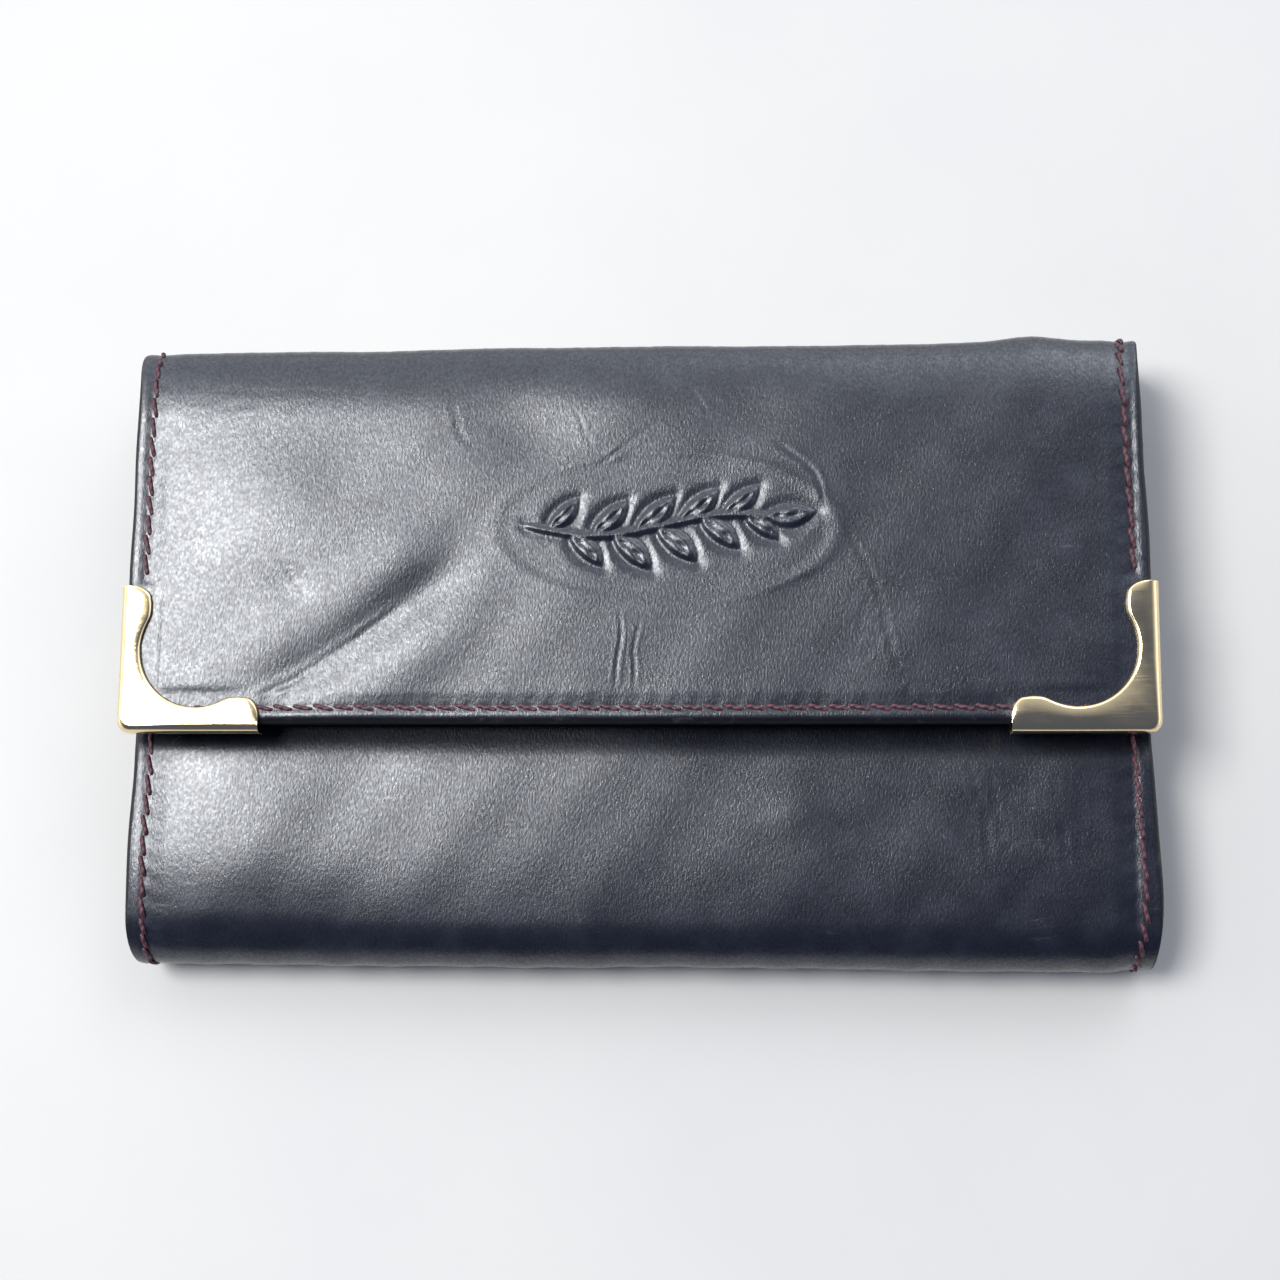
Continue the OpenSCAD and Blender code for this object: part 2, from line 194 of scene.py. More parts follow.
class Shader:
    """A material under construction: adds nodes, links them and sets their inputs by name."""

    def __init__(self, name: str) -> None:
        """Starts an empty material with an output and a Principled shader."""
        self.material = bpy.data.materials.new(name)
        self.material.use_nodes = True
        self.tree = self.material.node_tree
        self.tree.nodes.clear()
        self.output = self.tree.nodes.new("ShaderNodeOutputMaterial")
        self.surface = self.add("ShaderNodeBsdfPrincipled")
        self.tree.links.new(self.surface.outputs["BSDF"], self.output.inputs["Surface"])

    def add(self, kind: str, inputs: dict | None = None, **settings: object) -> bpy.types.Node:
        """Adds a node.

        Args:
            kind: the node's type name.
            inputs: input names or numbers, each with a value or an output socket.
            settings: attributes of the node itself.

        Returns:
            The new node.
        """
        node = self.tree.nodes.new(kind)
        for key, value in settings.items():
            setattr(node, key, value)
        for key, value in (inputs or {}).items():
            self.put(node, key, value)
        return node

    def put(self, node: bpy.types.Node, key: str | int, value: object) -> None:
        """Sets an input to a value, or links an output socket to it."""
        if isinstance(value, bpy.types.NodeSocket):
            self.tree.links.new(value, node.inputs[key])
        else:
            node.inputs[key].default_value = value

    def principled(self, **inputs: object) -> None:
        """Sets inputs of the Principled shader; an underscore in a name stands for a space."""
        for key, value in inputs.items():
            self.put(self.surface, key.replace("_", " "), value)

    def sheet_coordinates(self) -> bpy.types.NodeSocket:
        """The piece's own map, in metres along and across the sheet."""
        return self.add("ShaderNodeUVMap", uv_map=MeshWriter.MAP).outputs["UV"]

    def solid_coordinates(self) -> bpy.types.NodeSocket:
        """Object coordinates, in metres."""
        return self.add("ShaderNodeTexCoord").outputs["Object"]

    def stretched(self, vector: bpy.types.NodeSocket, scale: tuple[float, float, float],
                  turn: float = 0.0) -> bpy.types.NodeSocket:
        """Coordinates scaled, and turned about Z by an angle in radians."""
        return self.add("ShaderNodeMapping", {"Vector": vector, "Scale": scale,
                                              "Rotation": (0.0, 0.0, turn)}).outputs["Vector"]

    def noise(self, vector: bpy.types.NodeSocket, scale: float, detail: float = 3.0,
              rough: float = 0.55) -> bpy.types.NodeSocket:
        """Fractal noise from 0 to 1."""
        return self.add("ShaderNodeTexNoise", {"Vector": vector, "Scale": scale, "Detail": detail,
                                               "Roughness": rough}).outputs["Fac"]

    def cells(self, vector: bpy.types.NodeSocket, scale: float,
              feature: str = "F1") -> bpy.types.NodeSocket:
        """Distances of a Voronoi pattern."""
        node = self.add("ShaderNodeTexVoronoi", {"Vector": vector, "Scale": scale}, feature=feature)
        return node.outputs["Distance"]

    def math(self, operation: str, a: object, b: object = 0.0, c: object = 0.0) -> bpy.types.NodeSocket:
        """One arithmetic step."""
        node = self.add("ShaderNodeMath", operation=operation)
        for index, value in enumerate((a, b, c)):
            self.put(node, index, value)
        return node.outputs[0]

    def span(self, value: bpy.types.NodeSocket, a: float, b: float, c: float = 0.0,
             d: float = 1.0) -> bpy.types.NodeSocket:
        """Maps the range a to b onto c to d, held at its ends."""
        node = self.add("ShaderNodeMapRange", {"Value": value, "From Min": a, "From Max": b,
                                               "To Min": c, "To Max": d})
        return node.outputs["Result"]

    def blend(self, share: object, a: object, b: object) -> bpy.types.NodeSocket:
        """A colour between a and b."""
        node = self.add("ShaderNodeMix", data_type="RGBA")
        self.put(node, 0, share)
        self.put(node, 6, a)
        self.put(node, 7, b)
        return node.outputs[2]

    def bump(self, height: bpy.types.NodeSocket, strength: float, distance: float,
             under: bpy.types.NodeSocket | None = None) -> bpy.types.NodeSocket:
        """A bump of the given height field over another bump."""
        node = self.add("ShaderNodeBump", {"Height": height, "Strength": strength, "Distance": distance})
        if under is not None:
            self.put(node, "Normal", under)
        return node.outputs["Normal"]


@dataclass(frozen=True)
class GrainLeather:
    """Dark navy calf with a fine pebble, a worn sheen, scratches and faint wrinkles."""

    name: str = "navy_calf"
    deep: tuple = (0.0040, 0.0049, 0.0090, 1.0)
    worn: tuple = (0.0115, 0.0140, 0.0245, 1.0)
    sheen: tuple = (0.88, 0.92, 1.0, 1.0)
    pebble_mm: float = 0.38
    rough: tuple = (0.24, 0.33)
    flap_shadow_mm: tuple = (33.6, 36.4)

    def make(self) -> bpy.types.Material:
        """Builds the material; the front wall is matt under the flap, where hands don't rub it, and for about 2 mm past
        the flap's edge, a painted shadow of the flap.
        """
        s = Shader(self.name)
        uv = s.sheet_coordinates()
        per_mm = 1.0 / MM
        along = s.add("ShaderNodeSeparateXYZ", {0: uv}).outputs["Y"]
        # Painted shadow of the flap: gloss and coat fall to 0.16 on the front wall from the mouth to about 2 mm past
        # the flap's edge (under the flap this is also leather that hands don't rub)
        flap_shadow_gloss = s.span(along, *(v * MM for v in self.flap_shadow_mm), 0.16, 1.0)
        warp = s.noise(uv, 0.9 * per_mm, 2.0)
        drift = s.add("ShaderNodeVectorMath", {0: uv, 1: s.add(
            "ShaderNodeCombineXYZ", {"X": s.math("MULTIPLY", warp, 0.12 * MM),
                                     "Y": s.math("MULTIPLY", warp, -0.09 * MM)}).outputs[0]}).outputs[0]
        pebble = s.cells(drift, per_mm / self.pebble_mm, "SMOOTH_F1")
        pores = s.noise(s.stretched(uv, (1.0, 0.5, 1.0), 0.7), 4.2 * per_mm, 3.0, 0.65)
        soft = s.noise(uv, 0.22 * per_mm, 4.0, 0.6)
        broad = s.noise(uv, 0.05 * per_mm, 3.0, 0.5)
        wrinkle = s.noise(s.stretched(uv, (0.30, 1.0, 1.0), 0.35), 1.5 * per_mm, 4.0, 0.6)
        folds = s.span(s.math("ABSOLUTE", s.math("SUBTRACT", wrinkle, 0.5)), 0.0, 0.05, 1.0, 0.0)
        fold_zone = s.span(broad, 0.50, 0.68)
        scratch = self.scratches(s, uv, 0.9, 0.16)
        scratch_b = self.scratches(s, uv, -0.5, 0.11)
        marks = s.math("MAXIMUM", scratch, scratch_b)
        wear = s.math("MULTIPLY", s.span(soft, 0.46, 0.75), s.span(broad, 0.35, 0.7, 0.35, 1.0))
        base = s.blend(s.math("MULTIPLY", wear, 0.75), self.deep, self.worn)
        base = s.blend(s.math("MULTIPLY", marks, 0.35), base, (0.075, 0.078, 0.095, 1.0))
        rough = s.math("ADD", s.span(soft, 0.3, 0.7, *self.rough), s.math("MULTIPLY", marks, 0.12))
        valley = s.span(pebble, 0.18, 0.55)
        rough = s.math("ADD", rough, s.math("MULTIPLY", valley, 0.07))
        gloss = s.math("MULTIPLY_ADD", valley, -0.22, s.span(pores, 0.3, 0.7, 0.50, 0.90))
        under = s.bump(s.math("MULTIPLY", folds, fold_zone), -0.35, 0.05 * MM)
        under = s.bump(pebble, -0.8, 0.042 * MM, under)
        under = s.bump(pores, 0.8, 0.044 * MM, under)
        under = s.bump(marks, -0.25, 0.02 * MM, under)
        # The specular level and the coat weight are cut down in the painted flap shadow
        s.principled(Base_Color=base, Roughness=rough, Normal=under, IOR=1.5,
                     Specular_IOR_Level=s.math("MULTIPLY", gloss, flap_shadow_gloss),
                     Specular_Tint=self.sheen, Coat_Tint=(0.97, 0.98, 1.0, 1.0),
                     Coat_Weight=s.math("MULTIPLY", flap_shadow_gloss, 0.40), Coat_Roughness=0.22, Coat_Normal=under)
        return s.material

    @staticmethod
    def scratches(s: Shader, uv: bpy.types.NodeSocket, turn: float, share: float) -> bpy.types.NodeSocket:
        """Thin straight marks along one direction, broken up by a slow noise.

        Args:
            s: the material under construction.
            uv: the sheet's coordinates.
            turn: the marks' direction in radians.
            share: how much of the surface may carry marks.

        Returns:
            A mask that is 1 on a mark.
        """
        long = s.noise(s.stretched(uv, (0.07, 1.0, 1.0), turn), 0.55 / MM, 2.0, 0.4)
        line = s.span(s.math("ABSOLUTE", s.math("SUBTRACT", long, 0.52)), 0.0, 0.0035, 1.0, 0.0)
        zone = s.span(s.noise(uv, 0.13 / MM, 2.0), 0.62 - share * 0.4, 0.70, 0.0, 1.0)
        return s.math("MULTIPLY", line, zone)


@dataclass(frozen=True)
class PlainLeather:
    """Thin matt leather of the linings and gussets, with a fine hair grain."""

    name: str
    colour: tuple
    rough: float = 0.62

    def make(self) -> bpy.types.Material:
        """Builds the material."""
        s = Shader(self.name)
        uv = s.sheet_coordinates()
        grain = s.cells(uv, 2.6 / MM, "SMOOTH_F1")
        fine = s.noise(uv, 6.0 / MM, 3.0, 0.6)
        cloud = s.noise(uv, 0.12 / MM, 4.0, 0.6)
        light = tuple(min(1.0, c * 1.9) for c in self.colour[:3]) + (1.0,)
        base = s.blend(s.span(cloud, 0.35, 0.75, 0.0, 0.7), self.colour, light)
        rough = s.span(cloud, 0.3, 0.7, self.rough - 0.07, self.rough + 0.08)
        under = s.bump(grain, -0.4, 0.03 * MM)
        under = s.bump(fine, 0.45, 0.02 * MM, under)
        s.principled(Base_Color=base, Roughness=rough, Normal=under, IOR=1.48)
        return s.material


@dataclass(frozen=True)
class EdgePaint:
    """Black edge paint: smooth, slightly wavy, rubbed brown-grey here and there."""

    name: str = "edge_paint"
    colour: tuple = (0.004, 0.004, 0.006, 1.0)
    rubbed: tuple = (0.030, 0.029, 0.033, 1.0)

    def make(self) -> bpy.types.Material:
        """Builds the material."""
        s = Shader(self.name)
        place = s.solid_coordinates()
        lumps = s.noise(place, 1.4 / MM, 3.0, 0.6)
        rub = s.span(s.noise(place, 0.35 / MM, 4.0, 0.7), 0.58, 0.72)
        s.principled(Base_Color=s.blend(rub, self.colour, self.rubbed),
                     Roughness=s.span(lumps, 0.3, 0.7, 0.34, 0.50),
                     Normal=s.bump(lumps, 0.5, 0.05 * MM), IOR=1.5,
                     Specular_IOR_Level=0.32)
        return s.material


@dataclass(frozen=True)
class WaxedThread:
    """Burgundy sewing thread: two plies that twist round each other, with a waxed sheen."""

    name: str = "burgundy_thread"
    deep: tuple = (0.026, 0.004, 0.009, 1.0)
    light: tuple = (0.120, 0.026, 0.044, 1.0)

    def make(self) -> bpy.types.Material:
        """Builds the material; the map runs along the stitch and round it."""
        s = Shader(self.name)
        uv = s.sheet_coordinates()
        plies = s.add("ShaderNodeTexWave", {"Vector": s.stretched(uv, (1.0, 1.0, 1.0), 0.6),
                                            "Scale": 0.42 / MM, "Distortion": 0.6, "Detail": 2.0},
                      wave_type="BANDS").outputs["Fac"]
        fibre = s.noise(s.stretched(uv, (1.0, 4.0, 1.0), 0.6), 4.5 / MM, 3.0, 0.7)
        tone = s.math("MULTIPLY", plies, fibre)
        spot = s.noise(s.solid_coordinates(), 0.25 / MM, 2.0)
        share = s.math("MULTIPLY", s.span(tone, 0.05, 0.6), s.span(spot, 0.35, 0.65, 0.45, 1.0))
        under = s.bump(plies, 0.8, 0.07 * MM)
        under = s.bump(fibre, 0.5, 0.03 * MM, under)
        s.principled(Base_Color=s.blend(share, self.deep, self.light), Roughness=0.55, Normal=under,
                     Sheen_Weight=0.15, Sheen_Roughness=0.4, Sheen_Tint=(0.9, 0.55, 0.62, 1.0))
        return s.material


class PlateTone(Enum):
    """The two metal finishes on the case."""

    GOLD = "gold_plate"
    STUD = "stud_plate"


@dataclass(frozen=True)
class PlatedMetal:
    """Plated brass with hairline scratches, soft handling haze and worn spots."""

    tone: PlateTone
    colour: tuple
    worn: tuple
    rough: tuple

    def make(self) -> bpy.types.Material:
        """Builds the material."""
        s = Shader(self.tone.value)
        place = s.solid_coordinates()
        haze = s.noise(place, 0.18 / MM, 4.0, 0.6)
        lines = self.hairlines(s, place, 0.55)
        for turn in (-0.9, 0.12, 1.75):
            lines = s.math("MAXIMUM", lines, self.hairlines(s, place, turn))
        spots = s.span(s.noise(place, 0.9 / MM, 4.0, 0.7), 0.66, 0.74)
        base = s.blend(s.math("MULTIPLY", spots, 0.6), self.colour, self.worn)
        rough = s.math("ADD", s.span(haze, 0.3, 0.7, *self.rough), s.math("MULTIPLY", lines, 0.12))
        under = s.bump(s.noise(place, 0.28 / MM, 2.0), 0.35, 0.06 * MM)
        under = s.bump(lines, -0.4, 0.006 * MM, under)
        s.principled(Base_Color=base, Metallic=1.0, Roughness=rough, Normal=under)
        return s.material

    @staticmethod
    def hairlines(s: Shader, place: bpy.types.NodeSocket, turn: float) -> bpy.types.NodeSocket:
        """Very thin long scratches along one direction."""
        long = s.noise(s.stretched(place, (0.015, 1.0, 1.0), turn), 2.4 / MM, 2.0, 0.5)
        line = s.span(s.math("ABSOLUTE", s.math("SUBTRACT", long, 0.5)), 0.0, 0.010, 1.0, 0.0)
        return s.math("MULTIPLY", line, s.span(s.noise(place, 0.16 / MM, 2.0), 0.42, 0.66))


@dataclass(frozen=True)
class FibreBoard:
    """Pressed brown fibre board, as stiffener."""

    name: str = "fibre_board"
    colour: tuple = (0.36, 0.29, 0.20, 1.0)
    fleck: tuple = (0.20, 0.15, 0.10, 1.0)

    def make(self) -> bpy.types.Material:
        """Builds the material."""
        s = Shader(self.name)
        place = s.solid_coordinates()
        fibre = s.noise(s.stretched(place, (1.0, 0.35, 1.0)), 2.2 / MM, 5.0, 0.7)
        s.principled(Base_Color=s.blend(s.span(fibre, 0.4, 0.7), self.colour, self.fleck),
                     Roughness=0.85, Normal=s.bump(fibre, 0.5, 0.04 * MM))
        return s.material


@dataclass(frozen=True)
class PaleStone:
    """The pale, faintly clouded surface that the case lies on."""

    name: str = "pale_surface"

    def make(self) -> bpy.types.Material:
        """Builds the material."""
        s = Shader(self.name)
        place = s.solid_coordinates()
        cloud = s.noise(place, 9.0, 5.0, 0.6)
        base = s.blend(s.span(cloud, 0.35, 0.7, 0.0, 1.0), (0.475, 0.473, 0.465, 1.0),
                       (0.435, 0.438, 0.44, 1.0))
        s.principled(Base_Color=base, Roughness=0.55, IOR=1.4)
        return s.material


@dataclass
class Finishes:
    """Every material of the case, made once."""

    calf: bpy.types.Material = field(default_factory=lambda: GrainLeather().make())
    lining: bpy.types.Material = field(
        default_factory=lambda: PlainLeather("lining_leather", (0.020, 0.019, 0.023, 1.0)).make())
    gusset: bpy.types.Material = field(
        default_factory=lambda: PlainLeather("gusset_leather", (0.012, 0.012, 0.016, 1.0), 0.55).make())
    edge: bpy.types.Material = field(default_factory=lambda: EdgePaint().make())
    thread: bpy.types.Material = field(default_factory=lambda: WaxedThread().make())
    gold: bpy.types.Material = field(default_factory=lambda: PlatedMetal(
        PlateTone.GOLD, (0.92, 0.74, 0.43, 1.0), (0.60, 0.45, 0.25, 1.0), (0.09, 0.16)).make())
    stud: bpy.types.Material = field(default_factory=lambda: PlatedMetal(
        PlateTone.STUD, (0.66, 0.55, 0.33, 1.0), (0.40, 0.31, 0.17, 1.0), (0.22, 0.36)).make())
    board: bpy.types.Material = field(default_factory=lambda: FibreBoard().make())


# ---------------------------------------------------------------- meshes


class MeshWriter:
    """Puts whole arrays into Blender meshes."""

    MAP = "sheet_map"

    @staticmethod
    def write(name: str, points: Array, faces: list, uv: Array, materials: list,
              slots: Array | None = None, flat: Array | None = None) -> bpy.types.Object:
        """Makes an object from points in millimetres.

        Args:
            name: the piece's name.
            points: an n by 3 array, in millimetres.
            faces: lists of point numbers, of any length each.
            uv: an n by 2 array, in millimetres along the surface.
            materials: the piece's materials.
            slots: the material number of each face.
            flat: which faces are shaded flat, with sharp edges round them.

        Returns:
            The new object, with its place in its mesh and its faces outward.
        """
        if MeshWriter.volume(points, faces) < 0:
            faces = [f[::-1] for f in faces]
        mesh = bpy.data.meshes.new(name)
        mesh.from_pydata((points * MM).tolist(), [], faces)
        corner = np.zeros(len(mesh.loops), np.int32)
        mesh.loops.foreach_get("vertex_index", corner)
        layer = mesh.uv_layers.new(name=MeshWriter.MAP)
        layer.data.foreach_set("uv", (uv[corner] * MM).astype(np.float32).ravel())
        for material in materials:
            mesh.materials.append(material)
        if slots is not None:
            mesh.polygons.foreach_set("material_index", np.asarray(slots, np.int32))
        if flat is not None:
            mesh.polygons.foreach_set("use_smooth", ~np.asarray(flat, bool))
            edge = np.zeros(len(mesh.loops), np.int32)
            mesh.loops.foreach_get("edge_index", edge)
            sharp = np.zeros(len(mesh.edges), bool)
            sharp[edge[np.repeat(flat, [len(f) for f in faces])]] = True
            mesh.edges.foreach_set("use_edge_sharp", sharp)
        else:
            mesh.polygons.foreach_set("use_smooth", np.ones(len(mesh.polygons), bool))
        mesh.validate()
        mesh.update()
        piece = bpy.data.objects.new(name, mesh)
        bpy.context.scene.collection.objects.link(piece)
        LOG.info("%s: %d points, %d faces", name, len(points), len(faces))
        return piece

    @staticmethod
    def volume(points: Array, faces: list) -> float:
        """The signed volume that the faces close in, from each face's first triangle fan."""
        total = 0.0
        by_size: dict[int, list] = {}
        for face in faces:
            by_size.setdefault(len(face), []).append(face)
        for size, group in by_size.items():
            corners = points[np.array(group)]
            for k in range(1, size - 1):
                cross = np.cross(corners[:, k], corners[:, k + 1])
                total += float(np.einsum("ij,ij->", corners[:, 0], cross))
        return total

    @staticmethod
    def ring_faces(rows: int, loop: int) -> Array:
        """Quads of a grid of rows, each a closed loop of points."""
        r, c = np.meshgrid(np.arange(rows - 1), np.arange(loop), indexing="ij")
        n = (c + 1) % loop
        return np.stack([r * loop + c, r * loop + n, (r + 1) * loop + n, (r + 1) * loop + c], -1).reshape(-1, 4)


# ---------------------------------------------------------------- the fold path


class Place(Enum):
    """The stretches of the outer leather, in order from the pocket's mouth to the flap's edge."""

    FRONT = 0
    FOLD = 1
    BACK = 2
    LOW_CREASE = 3
    SPINE = 4
    HIGH_CREASE = 5
    FLAP = 6


class FoldPath:
    """The outer face's side profile: straight runs joined by arcs, measured by its length s."""

    def __init__(self, size: CaseSizes) -> None:
        """Works out where each stretch starts."""
        self.size = size
        z = size
        lengths = {
            Place.FRONT: z.mouth_y - z.panel_y,
            Place.FOLD: math.pi * z.fold_r,
            Place.BACK: z.crease_y - z.panel_y,
            Place.LOW_CREASE: math.pi / 2 * z.crease_r,
            Place.SPINE: z.flap_top - 2 * z.crease_r,
            Place.HIGH_CREASE: math.pi / 2 * z.crease_r,
            Place.FLAP: z.crease_y - z.flap_y,
        }
        ends = np.cumsum(list(lengths.values()))
        self.start = {p: float(e - lengths[p]) for p, e in zip(lengths, ends)}
        self.end = {p: float(e) for p, e in zip(lengths, ends)}
        self.length = float(ends[-1])
        self.back_middle = (self.start[Place.BACK] + self.end[Place.BACK]) / 2
        self.spine_middle = (self.start[Place.SPINE] + self.end[Place.SPINE]) / 2

    def at(self, s: Array) -> tuple[Array, Array, Array, Array]:
        """The profile at the distances s.

        A straight run is start + direction * t. An arc is centre + r (cos a, sin a), with the angle
        a growing or falling by t / r. The outward normal is the direction turned a quarter turn
        clockwise, which on an arc is the radius.

        Args:
            s: distances along the profile.

        Returns:
            y, z and the outward normal's two parts.
        """
        z = self.size
        quarter = math.pi / 2
        y_out, z_out = np.zeros_like(s), np.zeros_like(s)
        ny, nz = np.zeros_like(s), np.zeros_like(s)
        runs = {
            Place.FRONT: ((z.mouth_y, z.body_top), (-1.0, 0.0)),
            Place.BACK: ((z.panel_y, 0.0), (1.0, 0.0)),
            Place.SPINE: ((z.spine_y, z.crease_r), (0.0, 1.0)),
            Place.FLAP: ((z.crease_y, z.flap_top), (-1.0, 0.0)),
        }
        arcs = {
            Place.FOLD: ((z.panel_y, z.fold_r), z.fold_r, quarter),
            Place.LOW_CREASE: ((z.crease_y, z.crease_r), z.crease_r, -quarter),
            Place.HIGH_CREASE: ((z.crease_y, z.flap_top - z.crease_r), z.crease_r, 0.0),
        }
        for place in Place:
            low, high = self.start[place], self.end[place]
            here = (s >= low) & (s <= high)
            if place is Place.FRONT:
                here |= s < low
            if place is Place.FLAP:
                here |= s > high
            t = s[here] - low
            if place in runs:
                (y0, z0), (dy, dz) = runs[place]
                y_out[here], z_out[here] = y0 + dy * t, z0 + dz * t
                ny[here], nz[here] = dz, -dy
            else:
                (y0, z0), r, a0 = arcs[place]
                a = a0 + t / r
                y_out[here], z_out[here] = y0 + r * np.cos(a), z0 + r * np.sin(a)
                ny[here], nz[here] = np.cos(a), np.sin(a)
        return y_out, z_out, ny, nz

    def flap_distance(self, y: float) -> float:
        """The distance s of a place on the flap that lies at y."""
        return self.start[Place.FLAP] + self.size.crease_y - y

    def front_distance(self, y: float) -> float:
        """The distance s of a place on the front wall that lies at y."""
        return self.size.mouth_y - y


# ---------------------------------------------------------------- relief of the outer leather


@dataclass(frozen=True)
class Dent:
    """A soft bump or dent: height times a bell in x and y."""

    x: float
    y: float
    wide: float
    tall: float
    height: float

    def on(self, x: Array, y: Array) -> Array:
        """The height at each place."""
        return self.height * bell(x - self.x, self.wide) * bell(y - self.y, self.tall)


@dataclass(frozen=True)
class Crease:
    """A pressed line with soft lips, from one end to the other, fading at its ends and slightly bent."""

    x0: float
    y0: float
    x1: float
    y1: float
    depth: float
    width: float = 0.35
    bow: float = 0.6

    def on(self, x: Array, y: Array) -> Array:
        """The height at each place: a bell-shaped valley, with a lower ridge on each side."""
        dx, dy = self.x1 - self.x0, self.y1 - self.y0
        length = math.hypot(dx, dy)
        t = ((x - self.x0) * dx + (y - self.y0) * dy) / length**2
        off = ((y - self.y0) * dx - (x - self.x0) * dy) / length
        off = off - self.bow * np.sin(np.pi * np.clip(t, 0, 1)) - 0.12 * np.sin(9.0 * t + self.x0)
        fade = ease(-0.05, 0.25, t) * ease(1.05, 0.75, t)
        lips = bell(np.abs(off) - 2.2 * self.width, 1.3 * self.width)
        return self.depth * fade * (-bell(off, self.width) + 0.45 * lips)


@dataclass(frozen=True)
class LeafSprig:
    """A blind-pressed leaf sprig inside a faint oval: a plain ornament."""

    x: float
    y: float
    length: float = 33.0
    leaf: float = 6.0
    leaf_w: float = 1.35
    pairs: int = 5
    raise_mm: float = 0.21
    press_mm: float = 0.15

    def leaf_height(self, x: Array, y: Array, x0: float, y0: float, angle: float,
                    size: float) -> tuple[Array, Array]:
        """One leaf as a lens: its half width is leaf_w sin(pi u)^0.8 along its length u.

        Args:
            x: places across.
            y: places along.
            x0: the leaf's foot.
            y0: the leaf's foot.
            angle: the leaf's direction in radians.
            size: its share of the full leaf's length.

        Returns:
            The pillow inside the leaf, from 0 to 1, and the signed distance from its outline.
        """
        c, s = math.cos(angle), math.sin(angle)
        u = ((x - x0) * c + (y - y0) * s) / (self.leaf * size)
        v = -(x - x0) * s + (y - y0) * c + 0.5 * np.sin(np.pi * np.clip(u, 0, 1)) * math.copysign(0.6, s)
        half = self.leaf_w * size * np.sin(np.pi * np.clip(u, 0.0, 1.0)) ** 0.8
        beyond = np.maximum(np.maximum(-u, u - 1.0), 0.0) * self.leaf * size
        away = np.hypot(np.maximum(np.abs(v) - half, 0.0), beyond)
        inside = ease(0.0, 0.7, half - np.abs(v)) * (beyond <= 0)
        vein = 0.55 * bell(v, 0.16) * (beyond <= 0) * ease(0.0, 0.2, u) * ease(1.0, 0.85, u)
        ribs = 0.16 * np.sin(6.0 * (u * size * self.leaf / 6.0 - np.abs(v) * 0.20) * math.pi) * inside
        return inside * (1.0 - vein + ribs), np.where(inside > 0, 0.0, away)

    def on(self, x: Array, y: Array) -> Array:
        """The height at each place.

        The leaves are raised, the ground close round them is pressed by a bell of the distance from
        the nearest outline, and a faint oval line lies round the whole.
        """
        x, y = x - self.x, y - self.y
        half = self.length / 2
        stem_y = 1.1 * np.sin(2.2 * np.pi * x / self.length)
        stem = ease(-half, -half + 3.0, x) * ease(half - 3.5, half - 5.0, x)
        height = bell(y - stem_y, 0.20 + 0.16 * stem) * stem
        near = np.hypot(y - stem_y, np.maximum(np.maximum(-half + 1.5 - x, x - half + 5.0), 0.0))
        for k in range(self.pairs * 2):
            share = (k + 0.6) / (self.pairs * 2)
            foot = -half + 2.2 + share * (self.length - 9.5)
            side = 1.0 if k % 2 == 0 else -1.0
            size = 0.78 + 0.22 * math.sin(math.pi * share)
            y0 = 1.1 * math.sin(2.2 * math.pi * foot / self.length)
            pillow, away = self.leaf_height(x, y, foot, y0, side * (0.78 - 0.16 * share), size)
            height = np.maximum(height, pillow)
            near = np.minimum(near, away)
        tip = half - 6.2
        pillow, away = self.leaf_height(x, y, tip, 1.1 * math.sin(2.2 * math.pi * tip / self.length), 0.08, 1.0)
        height = np.maximum(height, pillow)
        near = np.minimum(near, away)
        ground = bell(near, 0.75) * (height < 0.5) * (1.0 - height)
        ring = np.hypot(x / (half + 2.0), (y + 0.3) / 8.2)
        oval = bell((ring - 1.0) * 8.2, 0.45) * (0.35 + 0.65 * ease(-2.0, 12.0, x))
        return self.raise_mm * height - self.press_mm * ground + 0.05 * oval - 0.04 * ease(1.02, 0.9, ring)


